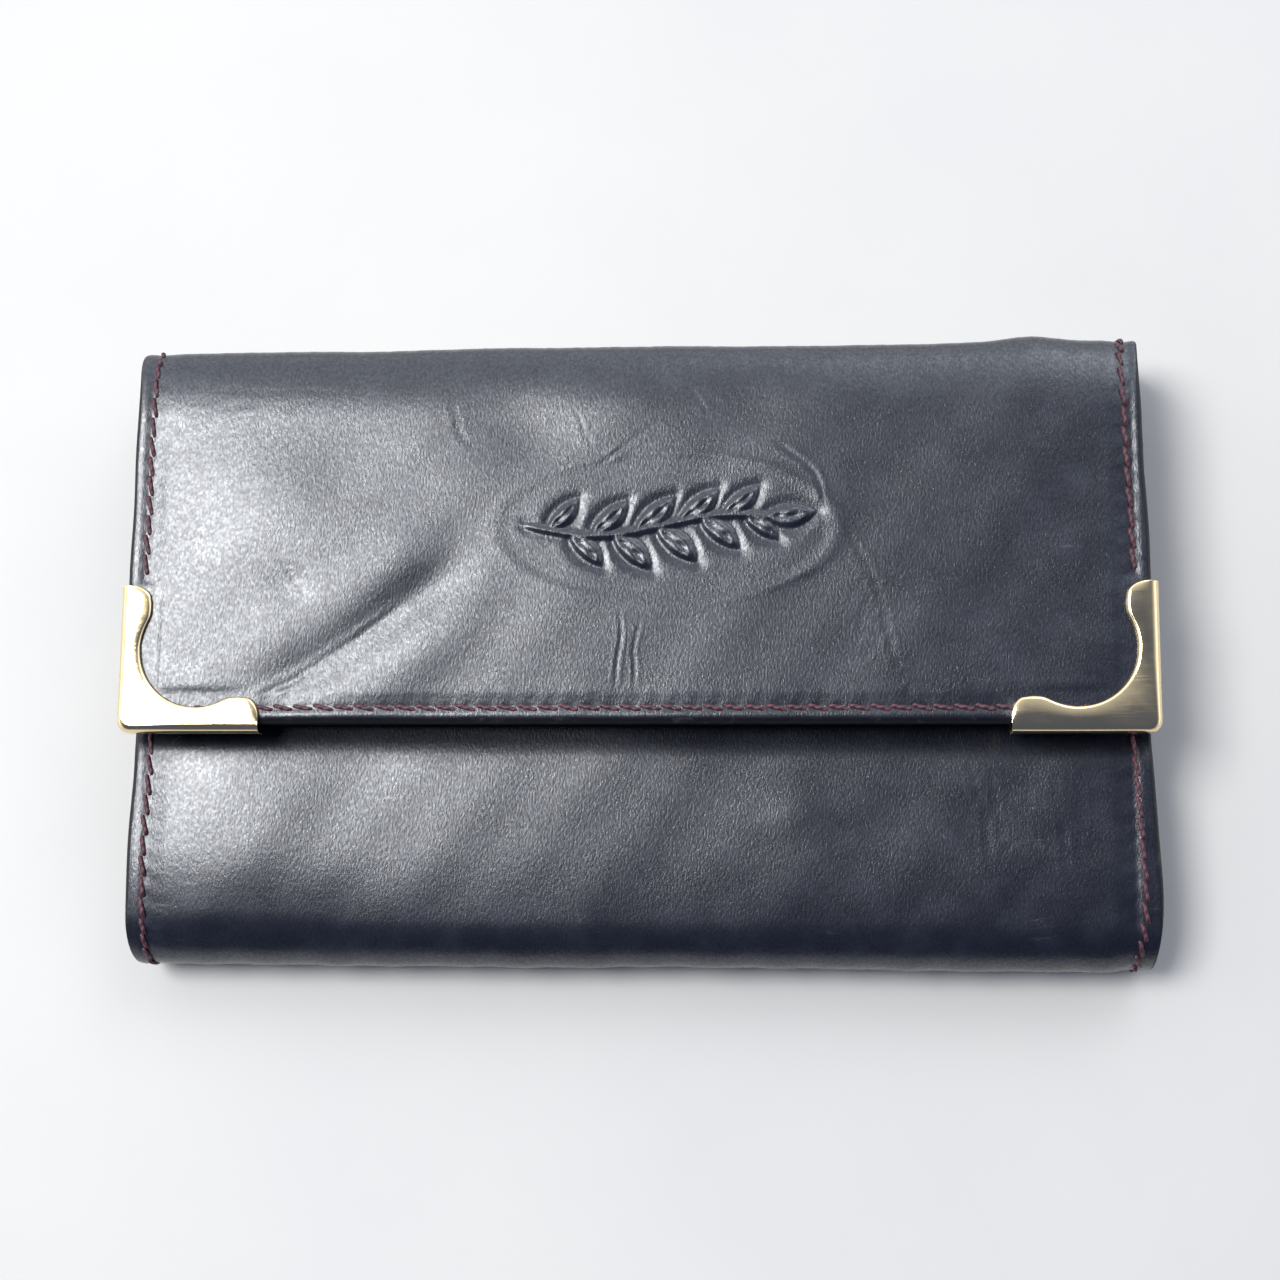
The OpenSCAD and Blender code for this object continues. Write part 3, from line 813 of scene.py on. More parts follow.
@dataclass
class OuterRelief:
    """How far the outer leather stands above or below its flat face, in millimetres."""

    size: CaseSizes
    path: FoldPath
    pitch: float = 2.2
    seam_inset: float = 1.9
    front_seam_inset: float = 1.7
    hollow_c: float = 8.2
    hollow_r: float = 6.1
    flap_marks: tuple = (
        Dent(-37.1, 7.0, 2.4, 1.9, -0.14), Dent(-39.0, 14.0, 9.0, 8.0, 0.46), Dent(-46.0, 0.0, 5.0, 5.0, 0.12),
        Crease(-17.0, 10.0, -41.0, -6.0, 0.31, 2.4, 0.5), Dent(-22.0, -1.0, 7.0, 4.0, 0.14),
        Dent(12.0, 26.5, 7.0, 3.0, -0.14), Dent(18.0, 22.0, 6.0, 4.0, 0.08), Dent(-12.0, 24.5, 5.0, 4.0, -0.16),
        Dent(36.0, 6.0, 9.0, 7.0, -0.10), Dent(43.0, 20.0, 6.0, 9.0, 0.10), Dent(-4.0, 2.0, 8.0, 5.0, 0.10),
        Crease(-24.0, 5.5, -42.0, -6.0, 0.130, 0.20, 0.9), Crease(-27.0, 2.9, -40.5, -6.0, 0.110, 0.18, 0.7),
        Crease(-21.5, 3.4, -33.0, -5.2, 0.035, 0.16, 0.7), Crease(-4.0, 19.5, 7.5, 26.0, 0.050, 0.20, 0.8),
        Crease(7.0, 25.6, 14.5, 28.2, 0.040, 0.18, 0.3), Crease(3.0, 31.0, 8.6, 25.0, 0.045, 0.16, 0.4),
        Crease(-6.5, 26.0, -4.3, 21.5, 0.040, 0.16, 0.2), Crease(22.8, 13.6, 28.4, -4.2, 0.045, 0.22, 0.9),
        Crease(25.4, 5.0, 29.6, -5.8, 0.035, 0.16, 0.4), Crease(24.0, 7.0, 26.4, -5.0, 0.030, 0.15, -0.4),
        Crease(-1.2, 4.2, -1.8, -4.6, 0.040, 0.17, 0.3), Crease(1.0, 3.4, 0.4, -4.8, 0.035, 0.16, -0.3),
        Crease(-19.6, 27.4, -16.6, 21.4, 0.060, 0.22, -0.9), Crease(-51.0, 29.4, -30.0, 28.4, 0.030, 0.16, -0.5),
        Crease(-50.0, 27.4, -36.0, 26.0, 0.030, 0.16, 0.4), Crease(-51.0, 25.4, -41.0, 27.0, 0.025, 0.15, 0.3),
        Crease(15.0, 22.4, 21.0, 14.8, 0.045, 0.24, 1.3), Crease(-38.5, 9.8, -35.5, 5.6, 0.060, 0.26, 0.3),
    )
    front_marks: tuple = (
        Dent(17.4, -17.6, 2.8, 2.2, 0.16), Dent(-44.0, -20.0, 11.0, 12.0, 0.62), Dent(38.0, -20.0, 5.0, 5.0, -0.12),
        Dent(-14.0, -16.0, 10.0, 5.0, 0.12), Dent(3.0, -24.0, 14.0, 4.0, -0.06), Dent(46.0, -14.0, 3.0, 6.0, 0.08),
        Crease(35.5, -11.0, 37.9, -23.5, 0.045, 0.20, 0.7), Crease(38.4, -12.5, 40.6, -24.0, 0.035, 0.18, -0.5),
        Crease(44.4, -12.0, 45.8, -24.5, 0.040, 0.20, 0.5), Crease(47.6, -13.0, 47.0, -22.5, 0.030, 0.18, 0.3),
        Crease(36.8, -13.0, 34.6, -21.0, 0.030, 0.16, 0.3), Crease(42.0, -14.0, 43.2, -22.0, 0.025, 0.16, -0.3),
        Crease(-52.0, -26.0, -45.4, -24.0, 0.030, 0.14, 0.1), Crease(20.0, -14.5, 23.5, -20.5, 0.025, 0.18, 0.3),
    )
    sprig: LeafSprig = field(default_factory=lambda: LeafSprig(3.6, 13.2))

    def __call__(self, s: Array, x: Array) -> Array:
        """The relief at distances s along the path and x across."""
        y = self.path.at(s)[0]
        flap = ease(self.path.start[Place.FLAP] - 1.5, self.path.start[Place.FLAP] + 1.5, s)
        front = ease(self.path.end[Place.FRONT] + 3.0, self.path.end[Place.FRONT] - 1.0, s)
        height = self.edges(s, x) + self.waves(s, x)
        height += flap * sum(m.on(x, y) for m in self.flap_marks)
        height += front * sum(m.on(x, y) for m in self.front_marks)
        height += flap * self.sprig.on(x, y)
        height += self.fold_shape(s, x) + self.slopes(s, y)
        edge = y - self.size.flap_y + 1.9 + 1.2 * (x + self.size.half_w) / (2 * self.size.half_w)
        height -= front * 0.38 * ease(-1.1, 1.9, edge) * ease(9.5, 5.0, edge)
        height = height * (1.0 - 0.85 * flap * self.under_caps(x, y))
        low = ease(self.path.end[Place.FOLD] - 3.0, self.path.end[Place.FOLD], s)
        low = low * ease(self.path.start[Place.LOW_CREASE] + 3.0, self.path.start[Place.LOW_CREASE], s)
        groove = 0.36 * bell(self.size.half_w - np.abs(x) - self.seam_inset, 0.5)
        return height * (1.0 - low) + (np.minimum(height, 0.0) * 0.5 - groove) * low

    def slopes(self, s: Array, y: Array) -> Array:
        """The walls fall away towards the folds, as the leather there is drawn round.

        A wall's drop grows with the square of the way along its slope. Past the wall the drop goes
        back to nothing along a cubic that starts with the slope that the wall ends with.
        """
        z, p = self.size, self.path
        total = np.zeros(np.broadcast(s, y).shape)
        for drop, run, back, start, way, place in (
            (0.60, 5.5, 6.4, p.start[Place.FLAP], -1.0, z.crease_y),
            (0.50, 8.0, 10.0, p.end[Place.FRONT], 1.0, z.panel_y),
        ):
            past = way * (s - start)
            t = np.clip(past / back, 0.0, 1.0)
            steep = 2.0 * drop / run * back
            curve = drop * (1.0 - t) ** 2 * (1.0 + 2.0 * t) + steep * t * (1.0 - t) ** 2
            climb = drop * (np.clip(run + past, 0.0, run) / run) ** 2
            total -= np.where(past > 0.0, curve, climb)
        return total

    def edges(self, s: Array, x: Array) -> Array:
        """The sewn margins: a step down off the board's edge, and a channel that each stitch pulls in."""
        z = self.size
        from_side = z.half_w - np.abs(x)
        from_front = self.path.length - s
        step = -0.14 * ease(4.4, 2.4, from_side)
        step = np.minimum(step, -0.08 * ease(3.4, 2.3, from_front))
        pull = 0.75 + 0.25 * np.cos(2 * np.pi * s / self.pitch)
        channel = -0.12 * bell(from_side - self.seam_inset, 0.38) * pull
        pull_x = 0.75 + 0.25 * np.cos(2 * np.pi * x / self.pitch)
        inside = ease(z.half_w - 0.8, z.half_w - 1.6, np.abs(x))
        channel -= 0.12 * bell(from_front - self.front_seam_inset, 0.38) * pull_x * inside
        pucker = 0.014 * np.cos(2 * np.pi * s / self.pitch + 1.2) * bell(from_side - 3.0, 0.8)
        pucker += 0.008 * np.cos(2 * np.pi * x / self.pitch + 0.8) * bell(from_front - 2.9, 0.8)
        lip = 0.06 * bell(from_side - 0.9, 0.4) + 0.06 * bell(from_front - 0.8, 0.35)
        roll = -0.30 * (np.clip(1.3 - from_front, 0.0, 1.3) / 1.3) ** 2
        return step + channel + pucker + lip + roll

    def waves(self, s: Array, x: Array) -> Array:
        """Slow unevenness of used leather: a sum of five sine waves in fixed directions."""
        total = np.zeros(np.broadcast(s, x).shape)
        for amount, fx, fs, phase in ((0.060, 0.085, 0.060, 0.4), (0.050, -0.13, 0.17, 2.1),
                                      (0.030, 0.31, 0.11, 4.0), (0.022, 0.24, -0.37, 1.3),
                                      (0.014, 0.62, 0.48, 5.2)):
            total += amount * np.sin(fx * x + fs * s + phase)
        return total

    def fold_shape(self, s: Array, x: Array) -> Array:
        """The folds: fine cross wrinkles over the creases, a lump by the right end of the top fold."""
        high = self.path.start[Place.HIGH_CREASE]
        low = self.path.start[Place.LOW_CREASE]
        width = self.path.end[Place.HIGH_CREASE] - high
        over = bell(s - high - width / 2, width * 0.7) + bell(s - low - width / 2, width * 0.7)
        fold = 0.018 * np.sin(1.9 * x + 1.4 * np.sin(0.7 * x) + 0.8 * s) + 0.010 * np.sin(4.3 * x - 0.9 * s)
        lump = 0.55 * bell(x - 43.0, 3.4) * bell(s - high + 0.5, 3.0)
        nose = 0.5 * (self.path.start[Place.FOLD] + self.path.end[Place.FOLD])
        roll = 0.05 * np.sin(0.9 * x + 0.6 * np.sin(0.4 * x)) * bell(s - nose, 5.0)
        return over * fold + lump + roll

    def under_caps(self, x: Array, y: Array) -> Array:
        """1 where a corner cap's faces grip the leather, 0 elsewhere."""
        z = self.size
        u = z.half_w - np.abs(x)
        v = y - z.flap_y
        corner = ease(z.cap_arm + 0.8, z.cap_arm - 0.4, u) * ease(z.cap_arm + 0.8, z.cap_arm - 0.4, v)
        away = np.hypot(u - self.hollow_c, v - self.hollow_c)
        inward = (u > self.hollow_c) & (v > self.hollow_c)
        ring = ease(self.hollow_r - 0.6, self.hollow_r + 0.4, away) * ~inward
        band = np.maximum(ease(4.2, 3.2, u), ease(4.2, 3.2, v))
        return corner * np.maximum(ring * ease(self.hollow_c + 4.0, self.hollow_c, np.maximum(u, v)), band)


@dataclass(frozen=True)
class Outline:
    """The half widths of the sheets on each side along the path: hand-made edges are not quite straight."""

    size: CaseSizes
    path: FoldPath
    corner_r: float = 1.3

    def side(self, s: Array, sign: float) -> Array:
        """The half width at s, on the left (sign -1) or the right (sign 1)."""
        z, p = self.size, self.path
        flap = ease(p.flap_distance(2.0), p.start[Place.FLAP] - 2.0, s) * ease(p.start[Place.SPINE], p.start[Place.FLAP], s)
        front = ease(p.start[Place.BACK] + 8.0, p.start[Place.FOLD] + 2.0, s)
        y = p.at(s)[0]
        belly = front * bell(y - (z.fold_y + 9.0), 9.0)
        if sign > 0:
            change = -0.75 * flap + 0.75 * belly + 0.25 * front
        else:
            change = -0.15 * flap + 0.45 * belly
        return z.half_w + change + 0.05 * np.sin(0.5 * s + sign)

    def rounded(self, s: Array, sign: float, ends: tuple[float, float]) -> Array:
        """The half width with the plan corners at the free ends rounded off.

        Near an end the width falls by r - sqrt(r^2 - t^2), where t runs from 0 to r at the end.
        """
        width = self.side(s, sign)
        for end in ends:
            t = np.clip(self.corner_r - np.abs(s - end), 0.0, self.corner_r * 0.995)
            width = width - (self.corner_r - np.sqrt(self.corner_r**2 - t**2))
        return width


# ---------------------------------------------------------------- bent sheets


@dataclass
class BentSheet:
    """A leather sheet with thickness, carried along the fold path.

    Its outer and inner faces stand at the offsets outer(s, x) and inner(s, x) along the outward
    normal. Its side edges are half rounds, and a free end narrows to a half round too. The inner
    face takes every skip-th point of the outer one.
    """

    name: str
    path: FoldPath
    outline: Outline
    s: Array
    u: Array
    outer: Relief
    inner: Relief
    inset: float = 0.0
    free: tuple = ()
    skip: int = 4
    arc: int = 5

    def rows(self) -> tuple[Array, Array]:
        """The rows along the path and how far each is through a free end's half round.

        Returns:
            The distances s, and the share of full thickness at each row.
        """
        s, share = self.s, np.ones(len(self.s))
        half = 0.5 * abs(float(self.outer(self.s[:1], np.zeros(1))[0] - self.inner(self.s[:1], np.zeros(1))[0]))
        turn = np.radians(np.linspace(0.0, 80.0, 7))
        for end in self.free:
            if end > s[0] + 1.0:
                keep = s < end - half - 0.05
                s = np.concatenate([s[keep], end - half + half * np.sin(turn)])
                share = np.concatenate([share[keep], np.cos(turn)])
            else:
                keep = s > end + half + 0.05
                s = np.concatenate([(end + half - half * np.sin(turn))[::-1], s[keep]])
                share = np.concatenate([np.cos(turn)[::-1], share[keep]])
        return s, share

    def build(self, face: bpy.types.Material, edge: bpy.types.Material) -> bpy.types.Object:
        """Makes the mesh.

        Args:
            face: the material of the two faces.
            edge: the material of the painted edges.

        Returns:
            The piece.
        """
        s, share = self.rows()
        column = s[:, None]
        left = -self.outline.rounded(s, -1.0, self.free)[:, None] + self.inset
        right = self.outline.rounded(s, 1.0, self.free)[:, None] - self.inset
        reach = 0.5 * (self.outer(column, left) - self.inner(column, left))
        reach_r = 0.5 * (self.outer(column, right) - self.inner(column, right))
        lo, hi = left + reach, right - reach_r
        x_out = lo + (hi - lo) * (0.5 + 0.5 * self.u[None, :])
        x_in = x_out[:, :: self.skip]
        top, low = self.outer(column, x_out), self.inner(column, x_in)
        low_full = self.inner(column, x_out)
        middle, middle_in = 0.5 * (top + low_full), 0.5 * (self.outer(column, x_in) + low)
        top = middle + (top - middle) * share[:, None]
        low = middle_in + (low - middle_in) * share[:, None]
        turn = np.radians(90.0 - 180.0 * np.arange(1, self.arc + 1) / (self.arc + 1))[None, :]
        arcs = []
        for edge_x, r, sign, at in ((hi, reach_r, 1.0, -1), (lo, reach, -1.0, 0)):
            centre = middle[:, at][:, None]
            arcs.append((edge_x + sign * r * np.cos(turn), centre + r * share[:, None] * np.sin(turn)))
        x = np.concatenate([x_out, arcs[0][0], x_in[:, ::-1], arcs[1][0][:, ::-1]], 1)
        h = np.concatenate([top, arcs[0][1], low[:, ::-1], arcs[1][1][:, ::-1]], 1)
        y0, z0, ny, nz = self.path.at(np.broadcast_to(column, x.shape).copy())
        points = np.stack([x, y0 + ny * h, z0 + nz * h], -1).reshape(-1, 3)
        uv = np.stack([x, np.broadcast_to(column, x.shape) + 0.35 * h], -1).reshape(-1, 2)
        return self.close(points, uv, len(s), x.shape[1], share, [face, edge])

    def close(self, points: Array, uv: Array, rows: int, loop: int, share: Array,
              materials: list) -> bpy.types.Object:
        """Joins the rows with quads and shuts both ends, then writes the mesh."""
        nx, ni = len(self.u), len(self.u[:: self.skip])
        quads = MeshWriter.ring_faces(rows, loop)
        column = np.tile(np.arange(loop), rows - 1)
        on_arc = ((column >= nx - 1) & (column < nx + self.arc)) | (column >= nx + self.arc + ni - 1)
        thin = np.repeat(np.minimum(share[:-1], share[1:]) < 0.999, loop)
        slots = (on_arc | thin).astype(int)
        faces = quads.tolist()
        caps: list = []
        for row, flip in ((0, True), (rows - 1, False)):
            first = row * loop
            inner = first + nx + self.arc + np.arange(ni)[::-1]
            for k in range(ni - 1):
                run = [first + k * self.skip + i for i in range(self.skip + 1)]
                caps.append((run + [int(inner[k + 1]), int(inner[k])], flip))
            right = [first + nx - 1 + i for i in range(self.arc + 2)]
            left = [first + loop - self.arc - 1 + i for i in range(self.arc + 1)] + [first]
            caps += [(right, flip), (left, flip)]
        faces += [f[::-1] if flip else f for f, flip in caps]
        slots = np.concatenate([slots, np.ones(len(caps), int)])
        flat = np.concatenate([np.zeros(len(quads), bool), np.ones(len(caps), bool)])
        return MeshWriter.write(self.name, points, faces, uv, materials, slots, flat)


def spaced(stops: tuple, steps: tuple) -> Array:
    """Places between the stops, with each stretch split into equal parts no longer than its step.

    Args:
        stops: the stretches' ends, in growing order.
        steps: the longest step in each stretch.

    Returns:
        The places, each once.
    """
    parts = [np.linspace(a, b, max(2, int(math.ceil((b - a) / h)) + 1))[:-1]
             for a, b, h in zip(stops[:-1], stops[1:], steps)]
    return np.concatenate([*parts, np.array([stops[-1]])])


def across(half: float, fine: tuple[float, float] | None, step: float, fine_step: float,
           skip: int) -> Array:
    """Shares from -1 to 1 across a sheet, finer over a stretch and along the sewn margins.

    Args:
        half: the half width.
        fine: the stretch that needs the finer step, or None.
        step: the plain step.
        fine_step: the step over the fine stretch.
        skip: the count is made to fit this many steps of the outer face to one of the inner.

    Returns:
        The shares.
    """
    margin = half - 4.0
    if fine:
        places = spaced((-half, -margin, fine[0], fine[1], margin, half), (0.3, step, fine_step, step, 0.3))
    else:
        places = spaced((-half, -margin, margin, half), (0.4, step, 0.4))
    count = int(math.ceil((len(places) - 1) / skip)) * skip + 1
    return np.interp(np.linspace(0, 1, count), np.linspace(0, 1, len(places)), places) / half


@dataclass
class LeatherWork:
    """The outer leather and the linings, as bent sheets that turn over the folds."""

    size: CaseSizes
    path: FoldPath
    finish: Finishes
    step: float = 0.5
    fine_step: float = 0.22
    lap: float = 0.05

    def __post_init__(self) -> None:
        """Prepares the relief and the outline that all sheets share."""
        self.relief = OuterRelief(self.size, self.path)
        self.outline = Outline(self.size, self.path)

    def crossing(self, piece: bpy.types.Object, a: str, b: str) -> None:
        """Bakes a piece's place into its mesh, for a piece that spans two bodies."""
        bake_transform(piece)

    def under(self, s: Array, x: Array) -> Array:
        """The outer leather's inner face: a full thickness below its flat face."""
        return np.full(np.broadcast(s, x).shape, -self.size.leather_t)

    def outer_sheets(self) -> None:
        """The strip of outer leather, in three lengths that meet in the back and in the spine."""
        z, p = self.size, self.path
        fold, back, low = p.start[Place.FOLD], p.start[Place.BACK], p.start[Place.LOW_CREASE]
        high, flap = p.start[Place.HIGH_CREASE], p.start[Place.FLAP]
        fine_low, fine_high = p.flap_distance(self.relief.sprig.y + 8.5), p.flap_distance(self.relief.sprig.y - 7.0)
        seen = p.front_distance(z.flap_y + 6.0)
        plain = across(z.half_w, None, self.step, self.step, 4)
        fine = across(z.half_w, (self.relief.sprig.x - 19.0, self.relief.sprig.x + 19.0), self.step,
                      self.fine_step, 4)
        lap = self.lap
        lengths = (
            ("leather_front_wrap", spaced((0.0, seen, fold, back, p.back_middle + lap), (1.2, 0.42, 0.42, 1.2)),
             plain, (0.0,), ("front", "back"), ("front_leather", "back_leather")),
            ("leather_back_wrap", spaced((p.back_middle, low - 2.0, low, p.spine_middle + lap), (1.2, 0.5, 0.4)),
             plain, (), ("back", "spine"), ("back_leather", "spine_leather")),
            ("leather_flap_wrap", spaced((p.spine_middle, high, flap, fine_low, fine_high, p.length - 4.0, p.length),
                                         (0.45, 0.30, 0.45, self.fine_step, 0.45, 0.3)),
             fine, (p.length,), ("spine", "flap"), ("spine_leather", "flap_leather")),
        )
        for name, s, u, free, bodies, nodes in lengths:
            sheet = BentSheet(name, p, self.outline, s, u, self.relief, self.under, free=free)
            piece = sheet.build(self.finish.calf, self.finish.edge)
            if name == "leather_front_wrap":
                ThumbNotch(z).cut(piece)
            self.finish_sheet(piece, bodies, nodes)

    def lining_offset(self, s: Array, x: Array) -> Array:
        """The linings' outer face: under the board in the middle, against the leather at the margins."""
        z, p = self.size, self.path
        board = ease(z.half_w - 1.6, z.board_half_w - 0.6, np.abs(x))
        board = board * ease(p.length - 1.6, p.length - 3.6, s)
        creases = np.zeros(np.broadcast(s, x).shape)
        for low, high in ((p.start[Place.LOW_CREASE] - 1.0, p.start[Place.FLAP] + 1.0),):
            creases += ease(low - 1.5, low + 0.5, s) * ease(high + 1.5, high - 0.5, s)
        return -z.leather_t - 0.02 - z.board_t * np.maximum(board * (1.0 - creases), 0.0) + 0.0 * x

    def lining_face(self, s: Array, x: Array) -> Array:
        """The linings' inner face, with a soft bow between the seams."""
        bow = 0.03 * np.sin(0.21 * x + 0.13 * s) + 0.02 * np.sin(0.5 * x - 0.37 * s)
        return self.lining_offset(s, x) - self.size.lining_t + 0.02 - 0.02 * bow

    def linings(self) -> None:
        """The lining of the front wall, and the strip that lines the back, the spine and the flap."""
        z, p = self.size, self.path
        back, low, high = p.start[Place.BACK], p.start[Place.LOW_CREASE], p.start[Place.HIGH_CREASE]
        u = across(z.half_w, None, 1.2, 1.2, 4)
        lengths = (
            ("lining_front", spaced((0.0, p.end[Place.FRONT]), (0.9,)), (0.0,), ("front", None),
             ("front_lining",)),
            ("lining_back_wrap", spaced((back, low - 2.0, low, p.spine_middle), (1.4, 0.6, 0.35)), (),
             ("back", "spine"), ("back_lining", "spine_lining")),
            ("lining_flap_wrap", spaced((p.spine_middle, high, p.start[Place.FLAP], p.length), (0.5, 0.3, 0.9)),
             (p.length,), ("spine", "flap"), ("spine_lining", "flap_lining")),
        )
        for name, s, free, bodies, nodes in lengths:
            sheet = BentSheet(name, p, self.outline, s, u, self.lining_offset, self.lining_face,
                              inset=0.12, free=free)
            piece = sheet.build(self.finish.lining, self.finish.edge)
            if name == "lining_front":
                ThumbNotch(z).cut(piece)
            self.finish_sheet(piece, bodies, nodes)

    def finish_sheet(self, piece: bpy.types.Object, bodies: tuple, nodes: tuple) -> None:
        """Attaches a sheet to its body, or bakes its place when it spans two, and hides the CAD nodes that it stands
        for.
        """
        if bodies[1]:
            self.crossing(piece, *bodies)
        else:
            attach(piece, bodies[0])
        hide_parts(*nodes)


@dataclass(frozen=True)
class ThumbNotch:
    """The half-round notch in the front wall's mouth."""

    size: CaseSizes
    radius: float = 8.0

    def cut(self, piece: bpy.types.Object) -> None:
        """Cuts a round column out of a sheet of the front wall, then drops the cutter."""
        z = self.size
        turn = np.linspace(0.0, 2 * math.pi, 97)[:-1]
        ring = np.stack([self.radius * np.cos(turn), z.mouth_y + self.radius * np.sin(turn)], -1)
        low = np.concatenate([ring, np.full((96, 1), z.pocket_high - 1.0)], 1)
        high = np.concatenate([ring, np.full((96, 1), z.body_top + 0.9)], 1)
        faces = MeshWriter.ring_faces(2, 96).tolist() + [list(range(96))[::-1], list(range(96, 192))]
        points = np.concatenate([low, high])
        cutter = MeshWriter.write("notch_cutter", points, faces, points[:, :2], list(piece.data.materials),
                                  np.ones(len(faces), int))
        modifier = piece.modifiers.new("notch", "BOOLEAN")
        modifier.operation = "DIFFERENCE"
        modifier.object = cutter
        modifier.solver = "EXACT"
        graph = bpy.context.evaluated_depsgraph_get()
        mesh = bpy.data.meshes.new_from_object(piece.evaluated_get(graph))
        piece.modifiers.clear()
        old, piece.data = piece.data, mesh
        bpy.data.meshes.remove(old)
        spent = cutter.data
        bpy.data.objects.remove(cutter)
        bpy.data.meshes.remove(spent)


# ---------------------------------------------------------------- the inside


@dataclass
class PocketInside:
    """The two folded gussets and the slip pocket's panel."""

    size: CaseSizes
    work: LeatherWork
    finish: Finishes
    thickness: float = 0.55
    flange: float = 2.6

    def ribbon(self, name: str, line: Array, y: Array, material: bpy.types.Material) -> bpy.types.Object:
        """A folded sheet: a line in X and Z given a thickness, carried along Y.

        The line's normal is its direction turned a quarter turn. The closed section is the line at
        plus half the thickness, then back at minus half, and both ends of the run are shut.

        Args:
            name: the piece's name.
            line: the section's middle line, n by 2.
            y: the places along Y.
            material: the leather.

        Returns:
            The piece.
        """
        way = np.gradient(line, axis=0)
        way = way / np.linalg.norm(way, axis=1)[:, None]
        normal = np.stack([way[:, 1], -way[:, 0]], -1)
        half = self.thickness / 2
        loop = np.concatenate([line + half * normal, (line - half * normal)[::-1]])
        n = len(line)
        along = np.concatenate([[0.0], np.cumsum(np.linalg.norm(np.diff(line, axis=0), axis=1))])
        points = np.stack([np.tile(loop[:, 0], len(y)), np.repeat(y, 2 * n), np.tile(loop[:, 1], len(y))], -1)
        uv = np.stack([np.tile(np.concatenate([along, along[::-1]]), len(y)), np.repeat(y, 2 * n)], -1)
        faces = MeshWriter.ring_faces(len(y), 2 * n).tolist()
        shut = [[k, k + 1, 2 * n - 2 - k, 2 * n - 1 - k] for k in range(n - 1)]
        last = (len(y) - 1) * 2 * n
        faces += [f[::-1] for f in shut] + [[last + i for i in f] for f in shut]
        flat = np.arange(len(faces)) >= len(faces) - 2 * len(shut)
        piece = MeshWriter.write(name, points, faces, uv, [material], None, flat)
        bevel = piece.modifiers.new("soft_edges", "BEVEL")
        bevel.width = 0.12 * MM
        bevel.segments = 2
        bevel.angle_limit = math.radians(50)
        return piece

    def gussets(self) -> None:
        """The gussets: flanges under each wall, joined by a soft fold that points into the pocket."""
        z = self.size
        edge = z.half_w - 0.8
        bend, tip = edge - self.flange, z.gusset_tip_x + self.thickness / 2
        low, high = z.pocket_low + self.thickness / 2, z.pocket_high - self.thickness / 2
        middle = (low + high) / 2
        t = np.linspace(0.0, 1.0, 15)
        fold = np.stack([bend + (tip - bend) * np.sin(np.pi * t) ** 0.85,
                         low + (high - low) * (t - 0.07 * np.sin(2 * np.pi * t))], -1)
        flange_low = np.stack([np.linspace(edge, bend + 0.5, 4), np.full(4, low)], -1)
        flange_high = np.stack([np.linspace(bend + 0.5, edge, 4), np.full(4, high)], -1)
        line = np.concatenate([flange_low, fold[1:-1], flange_high])
        y = np.linspace(z.panel_y + 0.5, z.mouth_y - 0.5, 50)
        for name, sign, node in (("gusset_fold_left", -1.0, "gusset_left"), ("gusset_fold_right", 1.0, "gusset_right")):
            piece = self.ribbon(name, line * np.array([sign, 1.0]), y, self.finish.gusset)
            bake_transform(piece)
            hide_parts(node)
        LOG.info("gussets meet at level %.2f", middle)

    def slip_panel(self) -> None:
        """The slip pocket's panel, whose mouth dips a little in the middle, on the back lining."""
        z = self.size
        low, top = z.pocket_low - 0.68, z.pocket_low - 0.02
        u = np.linspace(-1.0, 1.0, 121)
        v = np.linspace(0.0, 1.0, 41)
        mouth = z.slip_mouth_y - 2.2 * bell(u, 0.42)
        foot = z.panel_y + 0.5
        half = z.half_w - 0.8
        grid_u, grid_v = np.meshgrid(u, v)
        y = foot + (mouth[None, :] - foot) * grid_v
        edge = 0.3 * np.sqrt(np.clip(1 - ease(0.03, 0.0, 1 - np.abs(grid_u)) ** 2, 0, 1))
        edge = np.minimum(edge, 0.3 * np.sqrt(np.clip(1 - ease(0.02, 0.0, 1 - grid_v) ** 2, 0, 1)))
        crease = 0.07 * bell(mouth[None, :] - y - 1.6, 0.28)
        x = grid_u * half
        upper = top - 0.3 + edge - crease
        points = np.concatenate([np.stack([x, y, upper], -1).reshape(-1, 3),
                                 np.stack([x, y, np.full_like(x, low)], -1).reshape(-1, 3)])
        rows, cols = grid_u.shape
        r, c = np.meshgrid(np.arange(rows - 1), np.arange(cols - 1), indexing="ij")
        base = (r * cols + c).ravel()
        sheet = np.stack([base, base + 1, base + cols + 1, base + cols], -1)
        count = rows * cols
        rim = np.concatenate([np.arange(cols), np.arange(1, rows) * cols + cols - 1,
                              (rows - 1) * cols + np.arange(cols - 2, -1, -1), np.arange(rows - 2, 0, -1) * cols])
        ahead = np.roll(rim, -1)
        wall = np.stack([ahead, rim, rim + count, ahead + count], -1)
        faces = sheet.tolist() + (sheet[:, ::-1] + count).tolist() + wall.tolist()
        slots = np.concatenate([np.zeros(2 * len(sheet), int), np.ones(len(wall), int)])
        piece = MeshWriter.write("slip_pocket", points, faces, points[:, :2], [self.finish.gusset, self.finish.edge], slots)
        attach(piece, "back")
        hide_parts("slip_pocket_panel")


# ---------------------------------------------------------------- stitching


